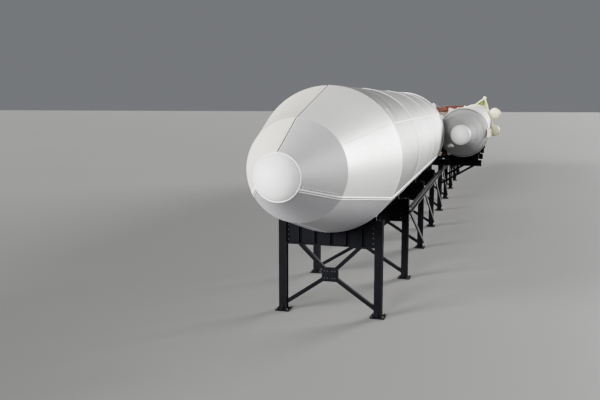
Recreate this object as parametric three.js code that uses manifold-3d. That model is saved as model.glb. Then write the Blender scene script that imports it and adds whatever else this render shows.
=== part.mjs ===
// Half-size model of a heavy space rocket that lies on the black steel trestles of its display stand.
//
// The rocket points along -Y. From its nose it has a payload fairing in three sectors, an upper stage,
// an interstage, a first stage with two gimballed engine chambers, and a solid booster on each side.
// Stations are distances from the nose tip, and every size below is in metres of the real rocket times M.
// The origin is on the floor under the middle of the rocket, with +Z up and +X to the rocket's right
// as one looks from the nose to the tail.
import * as THREE from 'three';
import { mergeVertices } from 'three/addons/utils/BufferGeometryUtils.js';
import Module from 'manifold-3d';

const wasm = await Module();
wasm.setup();

// Scale and overall layout
const MODEL_SCALE = 0.5;
const M = 1000 * MODEL_SCALE; // one metre of the real rocket, in millimetres of the model
const SEAM = 0.3; // gap between pieces that meet, in millimetres of the model
const LENGTH = 62.2 * M;
const AXIS_HEIGHT = 5.6 * M;

// Facets round each kind of body
const ROUND = { fairing: 36, core: 28, booster: 28, nozzle: 24 };

// Payload fairing
const FAIRING_R = 2.54 * M;
const FAIRING_WALL = 0.1 * M;
const CAP_STATION = 0.45 * M;
const CAP_R = 0.66 * M;
const CAP_BEAD = 0.04 * M;
const BREAK_STATION = 2.27 * M; // where the steep front cone meets the shallow one
const BREAK_R = 1.52 * M;
const SHOULDER_STATION = 6.2 * M;
const FAIRING_END = 26.2 * M;
const BAND_STATIONS = [12.05, 18.55, 23.3].map((station) => station * M);
const BAND_WIDTH = 0.12 * M;
const BAND_PROUD = 0.03 * M;
const SPLIT_ANGLES = [90, -30, -150]; // degrees, where the three sectors part
const SPLIT_GAP = 0.012 * M;
const RAIL_WIDTH = 0.2 * M; // the two edge rails of a split together
const RAIL_PROUD = 0.035 * M;
const RIM_FITTING_ANGLES = [43, 24, -26];
const RIM_FITTING = 0.26 * M;
const RIM_FITTING_PROUD = 0.16 * M;
const BOATTAIL_END = 27.7 * M;
const BOATTAIL_COLLAR = 28.0 * M - SEAM / 2;

// Core stages
const CORE_R = 1.525 * M;
const STRINGER_PROUD = 0.035 * M;
const STRINGERS = 20;
const HEAT_SHIELD = 59.1 * M;
const CORE_SECTIONS = [
  // name, start and end stations, and whether its skin carries stringers
  { name: 'upper_stage_forward_skirt', start: 28.0, end: 29.4, ribbed: false },
  { name: 'upper_stage_tanks', start: 29.4, end: 34.8, ribbed: false },
  { name: 'interstage', start: 34.8, end: 38.0, ribbed: true },
  { name: 'first_stage_oxidizer_tank', start: 38.0, end: 47.6, ribbed: false },
  { name: 'first_stage_intertank', start: 47.6, end: 49.8, ribbed: true },
  { name: 'first_stage_fuel_tank', start: 49.8, end: 56.6, ribbed: false },
  { name: 'first_stage_aft_skirt', start: 56.6, end: 59.4, ribbed: false },
];
const CORE_RACEWAY = { start: 28.2 * M, end: 59.0 * M, width: 0.34 * M, proud: 0.12 * M, angle: 100 };

// Core engine: two chambers one above the other, each on a two-axis gimbal
const CHAMBER_HEIGHT = 0.88 * M; // above and below the rocket's axis
const GIMBAL_STATION = 59.75 * M;
const GIMBAL_CUBE = 0.16 * M;
const GIMBAL_PIN_R = 0.05 * M;
const EAR_INNER = 0.15 * M;
const EAR_THICKNESS = 0.05 * M;
const EAR_WIDTH = 0.16 * M;
const EAR_REACH = 0.1 * M; // how far an ear runs past the gimbal's centre

// Boosters
const BOOSTER_OFFSET = 3.55 * M; // from the core's axis to the booster's axis
const BOOSTER_R = 1.6 * M;
const BOOSTER_TIP_R = 0.62 * M;
const BOOSTER_TIP = 25.85 * M;
const BOOSTER_CONE_END = 30.1 * M;
const BOOSTER_SECTIONS = [
  // name, start and end stations
  { name: 'forward_skirt', start: 30.1, end: 31.6 },
  { name: 'motor_case_forward', start: 31.6, end: 39.9 },
  { name: 'motor_case_centre', start: 39.9, end: 48.2 },
  { name: 'motor_case_aft', start: 48.2, end: 56.3 },
];
const JOINT_BAND = { width: 0.24 * M, proud: 0.025 * M };
const AFT_SKIRT = { start: 56.3 * M, end: 59.2 * M, radius: 1.75 * M, wall: 0.09 * M, face: 57.15 * M };
const NOZZLE_PIVOT = 57.0 * M;
const NOZZLE_EXIT = 60.15 * M;
const BEARING_R = 0.62 * M;
const BALL_R = 0.515 * M;
const BEARING_GAP = 5; // round the ball and round the bearing, in millimetres of the model
const TRUNNION_R = 15; // pins that carry the bearing and the ball across those gaps, in millimetres too
const BOOSTER_RACEWAY = { start: 31.9 * M, end: 55.2 * M, width: 0.4 * M, proud: 0.14 * M, angle: 214 };
const TANK = { radius: 0.53 * M, start: 55.0 * M, end: 58.2 * M, dome: 0.25 * M, x: 1.98 * M, z: 0.86 * M };

// Struts that tie the boosters to the core
const STRUT_LIFT = 1.48 * M; // beam centre above or below the rocket's axis
const STRUT_REACH = 2.5 * M; // from the rocket's axis to the end that meets the booster's lug
const STRUT_DEPTH = 0.28 * M;
const STRUT_ROOT = { inner: 0.55 * M, outer: 2.0 * M, low: 0.95 * M };
const STRUT_STATIONS = { forward: 31.0, aft: 55.6 };
const LUG_LENGTH = 0.5 * M;

// Display stand
const POST = 0.28 * M;
const FLANGE = 0.035 * M;
const WEB = 0.03 * M;
const SADDLE_WIDTH = 0.36 * M;
const BRACE = 0.14 * M;
const BASE_PLATE = { side: 0.52 * M, thickness: 0.04 * M };
const TRESTLES = [
  // station of the frame, half the distance between its post centres, and whether it carries the boosters
  { station: 6.7, half: 1.75, boosters: false },
  { station: 12.5, half: 1.96, boosters: false },
  { station: 19.05, half: 1.96, boosters: false },
  { station: 25.6, half: 1.96, boosters: false },
  { station: 32.2, half: 1.96, boosters: true },
  { station: 38.5, half: 1.96, boosters: true },
  { station: 45.1, half: 1.96, boosters: true },
  { station: 51.7, half: 1.96, boosters: true },
  { station: 57.9, half: 1.96, boosters: true },
];
const GIRDER = { bottom: 2.51 * M, postTop: 3.5 * M, stiffeners: 5 };
const CROSS_BEAM = { bottom: 3.2 * M, top: 3.62 * M, half: 4.75 * M };
const SIDE_RAIL = { bottom: 2.93 * M, top: 3.17 * M, width: 0.16 * M, start: 12.3 * M, end: 58.1 * M };

const WHITE_PAINT = new THREE.MeshStandardMaterial({ color: 0xdcdcd8, roughness: 0.42, metalness: 0.0 });
const CREAM_PAINT = new THREE.MeshStandardMaterial({ color: 0xdcd9bd, roughness: 0.45, metalness: 0.0 });
const BRONZE_SKIN = new THREE.MeshStandardMaterial({ color: 0x6b4a35, roughness: 0.45, metalness: 0.6 });
const RUST_PAINT = new THREE.MeshStandardMaterial({ color: 0x6e3324, roughness: 0.5, metalness: 0.1 });
const ENGINE_METAL = new THREE.MeshStandardMaterial({ color: 0x7d7a74, roughness: 0.35, metalness: 0.9 });
const NOZZLE_LINER = new THREE.MeshStandardMaterial({ color: 0x2b2a29, roughness: 0.7, metalness: 0.1 });
const BLACK_STEEL = new THREE.MeshStandardMaterial({ color: 0x16161a, roughness: 0.5, metalness: 0.2 });

const radians = THREE.MathUtils.degToRad;

// A closed geometry as a solid whose faces point out.
function solid(geometry) {
  const bare = geometry.clone();
  bare.deleteAttribute('normal');
  bare.deleteAttribute('uv');
  const merged = mergeVertices(bare, 1e-3);
  const corners = merged.index.array;
  const kept = [];
  for (let i = 0; i < corners.length; i += 3) {
    const [a, b, c] = [corners[i], corners[i + 1], corners[i + 2]];
    if (a !== b && b !== c && c !== a) kept.push(a, b, c);
  }
  const vertProperties = new Float32Array(merged.attributes.position.array);
  const build = (triVerts) => new wasm.Manifold(new wasm.Mesh({ numProp: 3, vertProperties, triVerts }));
  const made = build(new Uint32Array(kept));
  return made.volume() > 0 ? made : build(new Uint32Array(kept).reverse());
}

// A solid as a geometry, with the edges inside its flat faces removed.
function geometryOf(made) {
  const { vertProperties, triVerts, numProp } = made.asOriginal().simplify(0.02).getMesh();
  const positions = new Float32Array(triVerts.length * 3);
  triVerts.forEach((corner, i) => {
    for (let axis = 0; axis < 3; axis += 1) positions[3 * i + axis] = vertProperties[corner * numProp + axis];
  });
  const geometry = new THREE.BufferGeometry();
  geometry.setAttribute('position', new THREE.BufferAttribute(positions, 3));
  geometry.computeVertexNormals();
  return geometry;
}

const union = (...solids) => solids.reduce((whole, piece) => whole.add(piece));

function meshOf(name, made, material) {
  const mesh = new THREE.Mesh(geometryOf(made), material);
  mesh.name = name;
  return mesh;
}

// A box from its lowest to its highest corner.
function box([x0, y0, z0], [x1, y1, z1]) {
  const geometry = new THREE.BoxGeometry(x1 - x0, y1 - y0, z1 - z0);
  geometry.translate((x0 + x1) / 2, (y0 + y1) / 2, (z0 + z1) / 2);
  return solid(geometry);
}

// A body of revolution about the rocket's axis. The profile is a list of [station, radius] that starts and
// ends on the axis, or closes on itself. The first split angle falls on an edge between two facets.
function revolve(profile, segments) {
  const points = profile.map(([station, radius]) => new THREE.Vector2(Math.max(radius, 0), station));
  return solid(new THREE.LatheGeometry(points, segments, radians(90 - SPLIT_ANGLES[0]), 2 * Math.PI));
}

// An outline drawn out along Z between two heights, as its own points give it.
function extrude(outline, start, end) {
  const shape = new THREE.Shape(outline.map(([u, v]) => new THREE.Vector2(u, v)));
  const geometry = new THREE.ExtrudeGeometry(shape, { depth: end - start, bevelEnabled: false });
  geometry.translate(0, 0, start);
  return geometry;
}

// An outline of [x, z] points swept along the rocket's axis between two stations.
const sweep = (outline, start, end) => solid(extrude(outline, -end, -start).rotateX(Math.PI / 2));

// An outline of [x, y] points drawn up into a column.
const column = (outline, bottom, top) => solid(extrude(outline, bottom, top));

// An outline of [y, z] points drawn out across the rocket.
const crosswise = (outline, left, right) => solid(
  extrude(outline, left, right).rotateX(Math.PI / 2).rotateZ(Math.PI / 2),
);

// The outline of an I section about [u, v], with its flanges a depth apart along v.
function iSection([u, v], width, depth) {
  const [halfWidth, halfDepth, halfWeb] = [width / 2, depth / 2, WEB / 2];
  const neck = halfDepth - FLANGE;
  return [
    [-halfWidth, -halfDepth], [halfWidth, -halfDepth], [halfWidth, -neck], [halfWeb, -neck],
    [halfWeb, neck], [halfWidth, neck], [halfWidth, halfDepth], [-halfWidth, halfDepth],
    [-halfWidth, neck], [-halfWeb, neck], [-halfWeb, -neck], [-halfWidth, -neck],
  ].map(([du, dv]) => [u + du, v + dv]);
}

// A bar of rectangular section in a plane of constant station, from one [x, z] point to another.
function bar([x0, z0], [x1, z1], width, start, end) {
  const length = Math.hypot(x1 - x0, z1 - z0);
  const across = [(-(z1 - z0) / length) * (width / 2), ((x1 - x0) / length) * (width / 2)];
  return sweep([
    [x0 + across[0], z0 + across[1]],
    [x0 - across[0], z0 - across[1]],
    [x1 - across[0], z1 - across[1]],
    [x1 + across[0], z1 + across[1]],
  ], start, end);
}

// Points of an arc about [x, z], by angle in degrees from +X towards +Z.
function arc([x, z], radius, from, to, steps) {
  return Array.from({ length: steps + 1 }, (_, i) => {
    const angle = radians(from + ((to - from) * i) / steps);
    return [x + radius * Math.cos(angle), z + radius * Math.sin(angle)];
  });
}

// A box that stands on the skin of a round body at an angle, as a raceway or a fitting does.
function onSkin(radius, angle, width, inward, proud, start, end) {
  return box([radius - inward, start, -width / 2], [radius + proud, end, width / 2]).rotate([0, -angle, 0]);
}

// Payload fairing

// The skin's [station, radius] points, each raised by the given height.
function fairingSkin(raise) {
  return [
    [CAP_STATION, CAP_R + raise],
    [BREAK_STATION, BREAK_R + raise],
    [SHOULDER_STATION, FAIRING_R + raise],
    [FAIRING_END, FAIRING_R + raise],
  ];
}

function fairingShell() {
  const [front, middle, shoulder, end] = fairingSkin(0);
  const bands = BAND_STATIONS.flatMap((station) => [
    [station - BAND_WIDTH / 2, FAIRING_R],
    [station - BAND_WIDTH / 2, FAIRING_R + BAND_PROUD],
    [station + BAND_WIDTH / 2, FAIRING_R + BAND_PROUD],
    [station + BAND_WIDTH / 2, FAIRING_R],
  ]);
  const endBand = [[end[0] - BAND_WIDTH, FAIRING_R], [end[0] - BAND_WIDTH, FAIRING_R + BAND_PROUD], [end[0], FAIRING_R + BAND_PROUD]];
  const inside = fairingSkin(-FAIRING_WALL).reverse();
  return revolve([front, middle, shoulder, ...bands, ...endBand, ...inside, front], ROUND.fairing);
}

// The raised edge rails along all three splits.
function splitRails() {
  const raised = fairingSkin(RAIL_PROUD);
  const under = fairingSkin(-FAIRING_WALL / 2).reverse();
  const jacket = revolve([...raised, ...under, raised[0]], ROUND.fairing);
  const slabs = SPLIT_ANGLES.map((angle) => onSkin(2 * FAIRING_R, angle, RAIL_WIDTH, 2 * FAIRING_R, 0, 0, FAIRING_END));
  return union(...slabs).intersect(jacket);
}

// The space of one sector between two splits, short of each by half the split's gap.
function sectorWedge(from, to) {
  const middle = (from + to) / 2;
  const setback = SPLIT_GAP / 2 / Math.sin(radians((to - from) / 2));
  const apex = [setback * Math.cos(radians(middle)), setback * Math.sin(radians(middle))];
  const reach = 4 * FAIRING_R;
  return sweep([apex, ...arc(apex, reach, from, to, 2)], 0, FAIRING_END + BAND_WIDTH);
}

function fairing() {
  const group = new THREE.Group();
  const rimFittings = RIM_FITTING_ANGLES.flatMap((angle) => [angle, 180 - angle]).map((angle) => onSkin(
    FAIRING_R, angle, RIM_FITTING, FAIRING_WALL / 2, RIM_FITTING_PROUD, FAIRING_END - RIM_FITTING, FAIRING_END,
  ));
  const skin = union(fairingShell(), splitRails(), ...rimFittings);
  const sectors = [
    // name and the split angles on its two sides
    { name: 'fairing_sector_right', from: -30, to: 90 },
    { name: 'fairing_sector_left', from: 90, to: 210 },
    { name: 'fairing_sector_bottom', from: 210, to: 330 },
  ];
  sectors.forEach(({ name, from, to }) => {
    group.add(meshOf(name, skin.intersect(sectorWedge(from, to)), WHITE_PAINT));
  });
  group.add(meshOf('fairing_nose_cap', noseCap(), WHITE_PAINT));
  group.add(meshOf('fairing_boattail', boattail(), WHITE_PAINT));
  return group;
}

// A part of a sphere whose rim meets the front cone, with a bead round its edge.
function noseCap() {
  const sphere = (CAP_STATION ** 2 + CAP_R ** 2) / (2 * CAP_STATION);
  const back = CAP_STATION - SEAM;
  const dome = (radius, steps) => {
    const reach = Math.acos((sphere - back) / radius);
    return Array.from({ length: steps + 1 }, (_, i) => {
      const angle = (reach * i) / steps;
      return [sphere - radius * Math.cos(angle), radius * Math.sin(angle)];
    });
  };
  const outer = dome(sphere, 6);
  const inner = dome(sphere - FAIRING_WALL, 2).reverse();
  const rim = CAP_R + CAP_BEAD;
  const bead = [[back - 2 * CAP_BEAD, rim - CAP_BEAD], [back - CAP_BEAD, rim], [back, rim]];
  return revolve([...outer.slice(0, -1), ...bead, ...inner], 24);
}

function boattail() {
  const front = FAIRING_END + SEAM;
  const wall = 0.06 * M;
  const collar = CORE_R + 0.02 * M;
  return revolve([
    [front, FAIRING_R],
    [front + 0.15 * M, FAIRING_R],
    [BOATTAIL_END, collar],
    [BOATTAIL_COLLAR, collar],
    [BOATTAIL_COLLAR, collar - wall],
    [BOATTAIL_END - 0.05 * M, collar - wall],
    [front, FAIRING_R - FAIRING_WALL],
    [front, FAIRING_R],
  ], ROUND.fairing);
}

// Core stages

// A plain length of tank.
const smoothSection = (start, end) => revolve([[start, 0], [start, CORE_R], [end, CORE_R], [end, 0]], ROUND.core);

// A length of skirt whose skin carries stringers between two end rings.
function ribbedSection(start, end) {
  const ring = 0.1 * M;
  const step = 360 / STRINGERS;
  const crest = CORE_R - 0.01 * M;
  const outline = Array.from({ length: STRINGERS }, (_, i) => [
    ...arc([0, 0], crest - STRINGER_PROUD, i * step, (i + 0.6) * step, 1),
    ...arc([0, 0], crest, (i + 0.65) * step, (i + 0.95) * step, 1),
  ]).flat();
  const rings = [smoothSection(start, start + ring), smoothSection(end - ring, end)];
  return union(sweep(outline, start + ring / 2, end - ring / 2), ...rings);
}

// The open lip behind the heat shield is cut out of the last skirt.
function aftRecess() {
  const lip = 0.06 * M;
  return revolve([[HEAT_SHIELD, 0], [HEAT_SHIELD, CORE_R - lip], [LENGTH, CORE_R - lip], [LENGTH, 0]], ROUND.core);
}

function coreStages() {
  const group = new THREE.Group();
  CORE_SECTIONS.forEach(({ name, start, end, ribbed }) => {
    const [from, to] = [start * M + SEAM / 2, end * M - SEAM / 2];
    let made = ribbed ? ribbedSection(from, to) : smoothSection(from, to);
    if (name === 'first_stage_aft_skirt') made = made.subtract(aftRecess());
    group.add(meshOf(name, made, BRONZE_SKIN));
  });
  const { start, end, width, proud, angle } = CORE_RACEWAY;
  const core = revolve([[0, 0], [0, CORE_R + SEAM], [LENGTH, CORE_R + SEAM], [LENGTH, 0]], ROUND.core);
  const raceway = onSkin(CORE_R, angle, width, STRINGER_PROUD, proud, start, end).subtract(core);
  group.add(meshOf('core_raceway', raceway, BRONZE_SKIN));
  return group;
}

// Core engine

// The frame that carries the gimbals of both chambers, with a turbopump between them on each side.
function thrustFrame() {
  const front = HEAT_SHIELD + SEAM;
  const backPlate = GIMBAL_STATION - 0.2 * M;
  const beam = box([-0.24 * M, front, -1.15 * M], [0.24 * M, backPlate, 1.15 * M]);
  const ears = [-1, 1].flatMap((side) => [-1, 1].map((level) => {
    const x = side * (EAR_INNER + EAR_THICKNESS / 2);
    const z = level * CHAMBER_HEIGHT;
    return box(
      [x - EAR_THICKNESS / 2, backPlate - SEAM, z - EAR_WIDTH / 2],
      [x + EAR_THICKNESS / 2, GIMBAL_STATION + EAR_REACH, z + EAR_WIDTH / 2],
    );
  }));
  const pumps = [-1, 1].map((side) => {
    const x = side * 0.62 * M;
    const body = revolve([
      [front, 0], [front, 0.2 * M], [front + 0.35 * M, 0.24 * M], [front + 0.6 * M, 0.24 * M],
      [front + 0.9 * M, 0.13 * M], [front + 0.9 * M, 0],
    ], 16).translate([x, 0, 0]);
    const arm = box([Math.min(x, 0), front, -0.08 * M], [Math.max(x, 0), front + 0.2 * M, 0.08 * M]);
    return body.add(arm);
  });
  return union(beam, ...ears, ...pumps);
}

// The cross between the frame's ears and the chamber's ears.
function gimbalCross() {
  const half = GIMBAL_CUBE / 2;
  const reach = EAR_INNER - SEAM;
  const pin = new THREE.CylinderGeometry(GIMBAL_PIN_R, GIMBAL_PIN_R, 2 * reach, 12);
  return union(box([-half, -half, -half], [half, half, half]), solid(pin).rotate([0, 0, 90]), solid(pin).rotate([90, 0, 0]));
}

// Chamber and bell about the gimbal's centre, which is at station 0 here.
function thrustChamber() {
  const head = 0.24 * M;
  const exit = LENGTH - GIMBAL_STATION;
  const body = revolve([
    [head, 0], [head, 0.3 * M], [head + 0.1 * M, 0.33 * M], [head + 0.5 * M, 0.33 * M],
    [head + 0.85 * M, 0.2 * M], [head + 1.3 * M, 0.36 * M], [head + 1.8 * M, 0.51 * M], [exit, 0.6 * M],
    [exit, 0.56 * M], [head + 1.8 * M, 0.47 * M], [head + 1.3 * M, 0.31 * M], [head + 0.92 * M, 0.16 * M],
    [head + 0.9 * M, 0],
  ], 20);
  const ears = [-1, 1].map((side) => {
    const z = side * (EAR_INNER + EAR_THICKNESS / 2);
    return box(
      [-EAR_WIDTH / 2, -EAR_REACH, z - EAR_THICKNESS / 2],
      [EAR_WIDTH / 2, head + SEAM, z + EAR_THICKNESS / 2],
    );
  });
  return union(body, ...ears);
}

function coreEngine() {
  const group = new THREE.Group();
  group.add(meshOf('engine_thrust_frame', thrustFrame(), ENGINE_METAL));
  [{ name: 'upper', level: 1 }, { name: 'lower', level: -1 }].forEach(({ name, level }) => {
    const mount = new THREE.Group();
    mount.position.set(0, GIMBAL_STATION, level * CHAMBER_HEIGHT);
    mount.add(meshOf(`engine_gimbal_cross_${name}`, gimbalCross(), ENGINE_METAL));
    mount.add(meshOf(`engine_chamber_${name}`, thrustChamber(), ENGINE_METAL));
    group.add(mount);
  });
  return group;
}

// Boosters: all pieces about the booster's own axis, with +X outboard

function boosterNose() {
  const centre = BOOSTER_TIP + BOOSTER_TIP_R;
  const tip = Array.from({ length: 7 }, (_, i) => {
    const angle = radians((78 * i) / 6);
    return [centre - BOOSTER_TIP_R * Math.cos(angle), BOOSTER_TIP_R * Math.sin(angle)];
  });
  const back = BOOSTER_CONE_END - SEAM;
  const cone = revolve([...tip, [back - 0.12 * M, BOOSTER_R], [back, BOOSTER_R], [back, 0]], ROUND.booster);
  const hoistPad = box([1.2 * M, 29.7 * M, -0.24 * M], [1.78 * M, back, 0.24 * M]);
  const antenna = onSkin(0.84 * M, 224, 0.4 * M, 0.15 * M, 0.15 * M, 27.03 * M, 27.36 * M);
  return union(cone, hoistPad, antenna);
}

function boosterSection(start, end, lugs) {
  const { width, proud } = JOINT_BAND;
  const shell = revolve([
    [start, 0], [start, BOOSTER_R + proud], [start + width, BOOSTER_R + proud], [start + width, BOOSTER_R],
    [end, BOOSTER_R], [end, 0],
  ], ROUND.booster);
  return union(shell, ...lugs);
}

// Lugs above and below, at the inboard side, that take the ends of two struts.
function strutLugs(station) {
  const inner = STRUT_REACH + SEAM - BOOSTER_OFFSET;
  const half = STRUT_DEPTH / 2;
  return [-1, 1].map((level) => {
    const far = level * (STRUT_LIFT + half);
    const near = level * 1.1 * M;
    return box(
      [inner, station - half, Math.min(far, near)],
      [inner + LUG_LENGTH, station + half, Math.max(far, near)],
    );
  });
}

function boosterAftSkirt() {
  const { start, end, radius, wall, face } = AFT_SKIRT;
  const bore = BEARING_R + BEARING_GAP;
  const floor = NOZZLE_PIVOT - 0.4 * M;
  const from = start + SEAM / 2;
  return revolve([
    [from, 0], [from, BOOSTER_R], [start + 0.6 * M, BOOSTER_R], [start + 0.9 * M, radius], [end, radius],
    [end, radius - wall], [face + 0.15 * M, radius - wall], [face, bore], [floor, bore], [floor, 0],
  ], ROUND.booster);
}

// Two pins along X, from a radius inside the piece that has them to just short of the bore round it.
function trunnions(root, bore) {
  const tip = bore - 2.3; // the bore's facets come this much closer beside a corner
  const pin = solid(new THREE.CylinderGeometry(TRUNNION_R, TRUNNION_R, tip - root, 8).rotateZ(Math.PI / 2));
  const middle = (root + tip) / 2;
  return pin.translate([middle, NOZZLE_PIVOT, 0]).add(pin.translate([-middle, NOZZLE_PIVOT, 0]));
}

// The ring that turns in the bulkhead, round outside so that it clears its bore at any tilt.
function flexBearing() {
  const half = 18;
  const outer = arc([0, 0], BEARING_R, -half, half, 2).map(([radius, offset]) => [NOZZLE_PIVOT + offset, radius]);
  const reach = BEARING_R * Math.sin(radians(half));
  const bore = BALL_R + BEARING_GAP;
  const ring = revolve([...outer, [NOZZLE_PIVOT + reach, bore], [NOZZLE_PIVOT - reach, bore], outer[0]], ROUND.nozzle);
  return ring.add(trunnions(BEARING_R - 2 * TRUNNION_R, BEARING_R + BEARING_GAP));
}

function boosterNozzle() {
  const ball = arc([0, 0], BALL_R, -18, 18, 2).map(([radius, offset]) => [NOZZLE_PIVOT + offset, radius]);
  const throat = NOZZLE_PIVOT + 0.3 * M;
  const pins = trunnions(BALL_R - 2 * TRUNNION_R, BALL_R + BEARING_GAP).rotate([0, 90, 0]);
  const bell = revolve([
    [ball[0][0], 0], ...ball,
    [throat, 0.42 * M], [throat + 0.3 * M, 0.52 * M], [throat + 1.3 * M, 0.99 * M],
    [throat + 2.1 * M, 1.24 * M], [NOZZLE_EXIT, 1.38 * M],
    [NOZZLE_EXIT, 1.31 * M], [throat + 2.1 * M, 1.17 * M], [throat + 1.3 * M, 0.91 * M],
    [throat + 0.3 * M, 0.42 * M], [throat + 0.1 * M, 0],
  ], ROUND.nozzle);
  return bell.add(pins);
}

// Two dome-ended tanks on one cradle along the booster's outboard side.
function serviceTanks() {
  const { radius, start, end, dome, x, z } = TANK;
  const tank = revolve([
    [start, 0], [start + 0.15 * dome, 0.6 * radius], [start + dome, radius],
    [end - dome, radius], [end - 0.15 * dome, 0.6 * radius], [end, 0],
  ], 16);
  const cradle = (station) => box([1.2 * M, station, -z], [x + 0.1 * M, station + 0.14 * M, z]);
  const clearance = revolve([
    [start, 0], [start, BOOSTER_R + SEAM], [AFT_SKIRT.start + 0.55 * M, BOOSTER_R + SEAM],
    [AFT_SKIRT.start + 0.85 * M, AFT_SKIRT.radius + SEAM], [end, AFT_SKIRT.radius + SEAM], [end, 0],
  ], ROUND.booster);
  return union(
    tank.translate([x, 0, z]), tank.translate([x, 0, -z]), cradle(start + 0.4 * M), cradle(end - 0.7 * M),
  ).subtract(clearance);
}

// A hollow triangular frame on the skirt's upper outboard side, with a round knob at its top.
function liftFrame() {
  const [front, back] = [57.5 * M, 58.3 * M];
  const foot = AFT_SKIRT.radius - 0.08 * M;
  const apex = [0.92 * M, 2.42 * M];
  const outline = [[0.02 * M, foot], [1.3 * M, 1.05 * M], [1.42 * M, 1.3 * M], apex];
  const inset = [[0.34 * M, foot + 0.14 * M], [1.1 * M, 1.5 * M], [0.9 * M, 2.15 * M]];
  const frame = sweep(outline, front, back).subtract(sweep(inset, front - SEAM, back - 0.15 * M));
  const knob = solid(new THREE.SphereGeometry(0.16 * M, 12, 8)).translate([apex[0], front + 0.2 * M, apex[1]]);
  const seat = revolve([
    [front - M, 0], [front - M, AFT_SKIRT.radius + SEAM], [back + M, AFT_SKIRT.radius + SEAM], [back + M, 0],
  ], ROUND.booster);
  return union(frame, knob).subtract(seat);
}

function boosterRaceway() {
  const { start, end, width, proud, angle } = BOOSTER_RACEWAY;
  const plain = BOOSTER_R + SEAM;
  const raised = plain + JOINT_BAND.proud;
  const bands = BOOSTER_SECTIONS.flatMap((section) => {
    const [from, to] = [section.start * M - SEAM, section.start * M + JOINT_BAND.width + 2 * SEAM];
    return [[from, plain], [from, raised], [to, raised], [to, plain]];
  });
  const skin = revolve([[0, 0], [0, plain], ...bands, [LENGTH, plain], [LENGTH, 0]], ROUND.booster);
  return onSkin(BOOSTER_R, angle, width, 0.02 * M, proud, start, end).subtract(skin);
}

function booster(side) {
  const group = new THREE.Group();
  const sign = side === 'right' ? 1 : -1;
  const add = (name, made, material) => {
    const handed = sign > 0 ? made : made.mirror([1, 0, 0]);
    group.add(meshOf(`booster_${side}_${name}`, handed, material));
  };
  add('nose_cone', boosterNose(), WHITE_PAINT);
  BOOSTER_SECTIONS.forEach(({ name, start, end }) => {
    const stations = Object.values(STRUT_STATIONS).filter((station) => station > start && station < end);
    const lugs = stations.flatMap((station) => strutLugs(station * M));
    add(name, boosterSection(start * M + SEAM / 2, end * M - SEAM / 2, lugs), WHITE_PAINT);
  });
  add('aft_skirt', boosterAftSkirt(), CREAM_PAINT);
  add('flex_bearing', flexBearing(), NOZZLE_LINER);
  add('nozzle', boosterNozzle(), NOZZLE_LINER);
  add('service_tanks', serviceTanks(), CREAM_PAINT);
  add('lift_frame', liftFrame(), CREAM_PAINT);
  add('raceway', boosterRaceway(), WHITE_PAINT);
  group.position.set(sign * BOOSTER_OFFSET, 0, 0);
  return group;
}

// Struts: beams that stand out from the core's shoulders to the boosters, above and below

// The upper strut of the right side. Its root is a bracket that fits the core's skin.
function strut(station) {
  const half = STRUT_DEPTH / 2;
  const [under, over] = [STRUT_LIFT - half, STRUT_LIFT + half];
  const { inner, outer, low } = STRUT_ROOT;
  const root = [
    [inner, under], [inner, over], [STRUT_REACH, over], [STRUT_REACH, under], [outer, under],
    [inner + 0.85 * M, low], [inner + 0.6 * M, low],
  ];
  const core = revolve([
    [station - M, 0], [station - M, CORE_R + SEAM], [station + M, CORE_R + SEAM], [station + M, 0],
  ], ROUND.core);
  return sweep(root, station - half, station + half).subtract(core);
}

function struts() {
  const group = new THREE.Group();
  Object.entries(STRUT_STATIONS).forEach(([place, metres]) => {
    const made = strut(metres * M);
    [{ side: 'right', mirror: false }, { side: 'left', mirror: true }].forEach(({ side, mirror }) => {
      const upper = mirror ? made.mirror([1, 0, 0]) : made;
      group.add(meshOf(`strut_${place}_${side}_upper`, upper, RUST_PAINT));
      group.add(meshOf(`strut_${place}_${side}_lower`, upper.mirror([0, 0, 1]), RUST_PAINT));
    });
  });
  return group;
}

// Display stand: heights are from the floor here

// The concave seat under a round body, a number of the body's own facets wide to each side.
function seatArc(x, radius, facets, reach) {
  const step = 360 / facets;
  const clear = radius + SEAM / Math.cos(radians(step / 2));
  return arc([x, AXIS_HEIGHT], clear, -90 - reach * step, -90 + reach * step, 2 * reach);
}

// A seat with a flat foot at the given height.
function saddle(x, radius, facets, bottom, station) {
  const seat = seatArc(x, radius, facets, 3);
  const [left, right] = [seat[0][0], seat.at(-1)[0]];
  return sweep([[left, bottom], ...seat, [right, bottom]], station - SADDLE_WIDTH / 2, station + SADDLE_WIDTH / 2);
}

// Posts of I section on their base plates, with the flanges facing along the rocket.
function posts(half, top, station) {
  const { side, thickness } = BASE_PLATE;
  const pieces = [-half, half].flatMap((x) => [
    column(iSection([x, station], POST, POST), thickness / 2, top),
    box([x - side / 2, station - side / 2, 0], [x + side / 2, station + side / 2, thickness]),
  ]);
  return union(...pieces);
}

function crossBraces(half, top, station) {
  const [low, high] = [0.25 * M, top];
  const centre = [0, (low + high) / 2 + 0.05 * M];
  const reach = half - WEB;
  const ends = [[-reach, low], [reach, low], [-reach * 0.65, high], [reach * 0.65, high]];
  const arms = ends.map((end) => bar(centre, end, BRACE, station - BRACE / 2, station + BRACE / 2));
  const gusset = box(
    [-0.3 * M, station - BRACE / 2 - SEAM, centre[1] - 0.25 * M],
    [0.3 * M, station + BRACE / 2 + SEAM, centre[1] + 0.25 * M],
  );
  return union(...arms, gusset);
}

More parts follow.
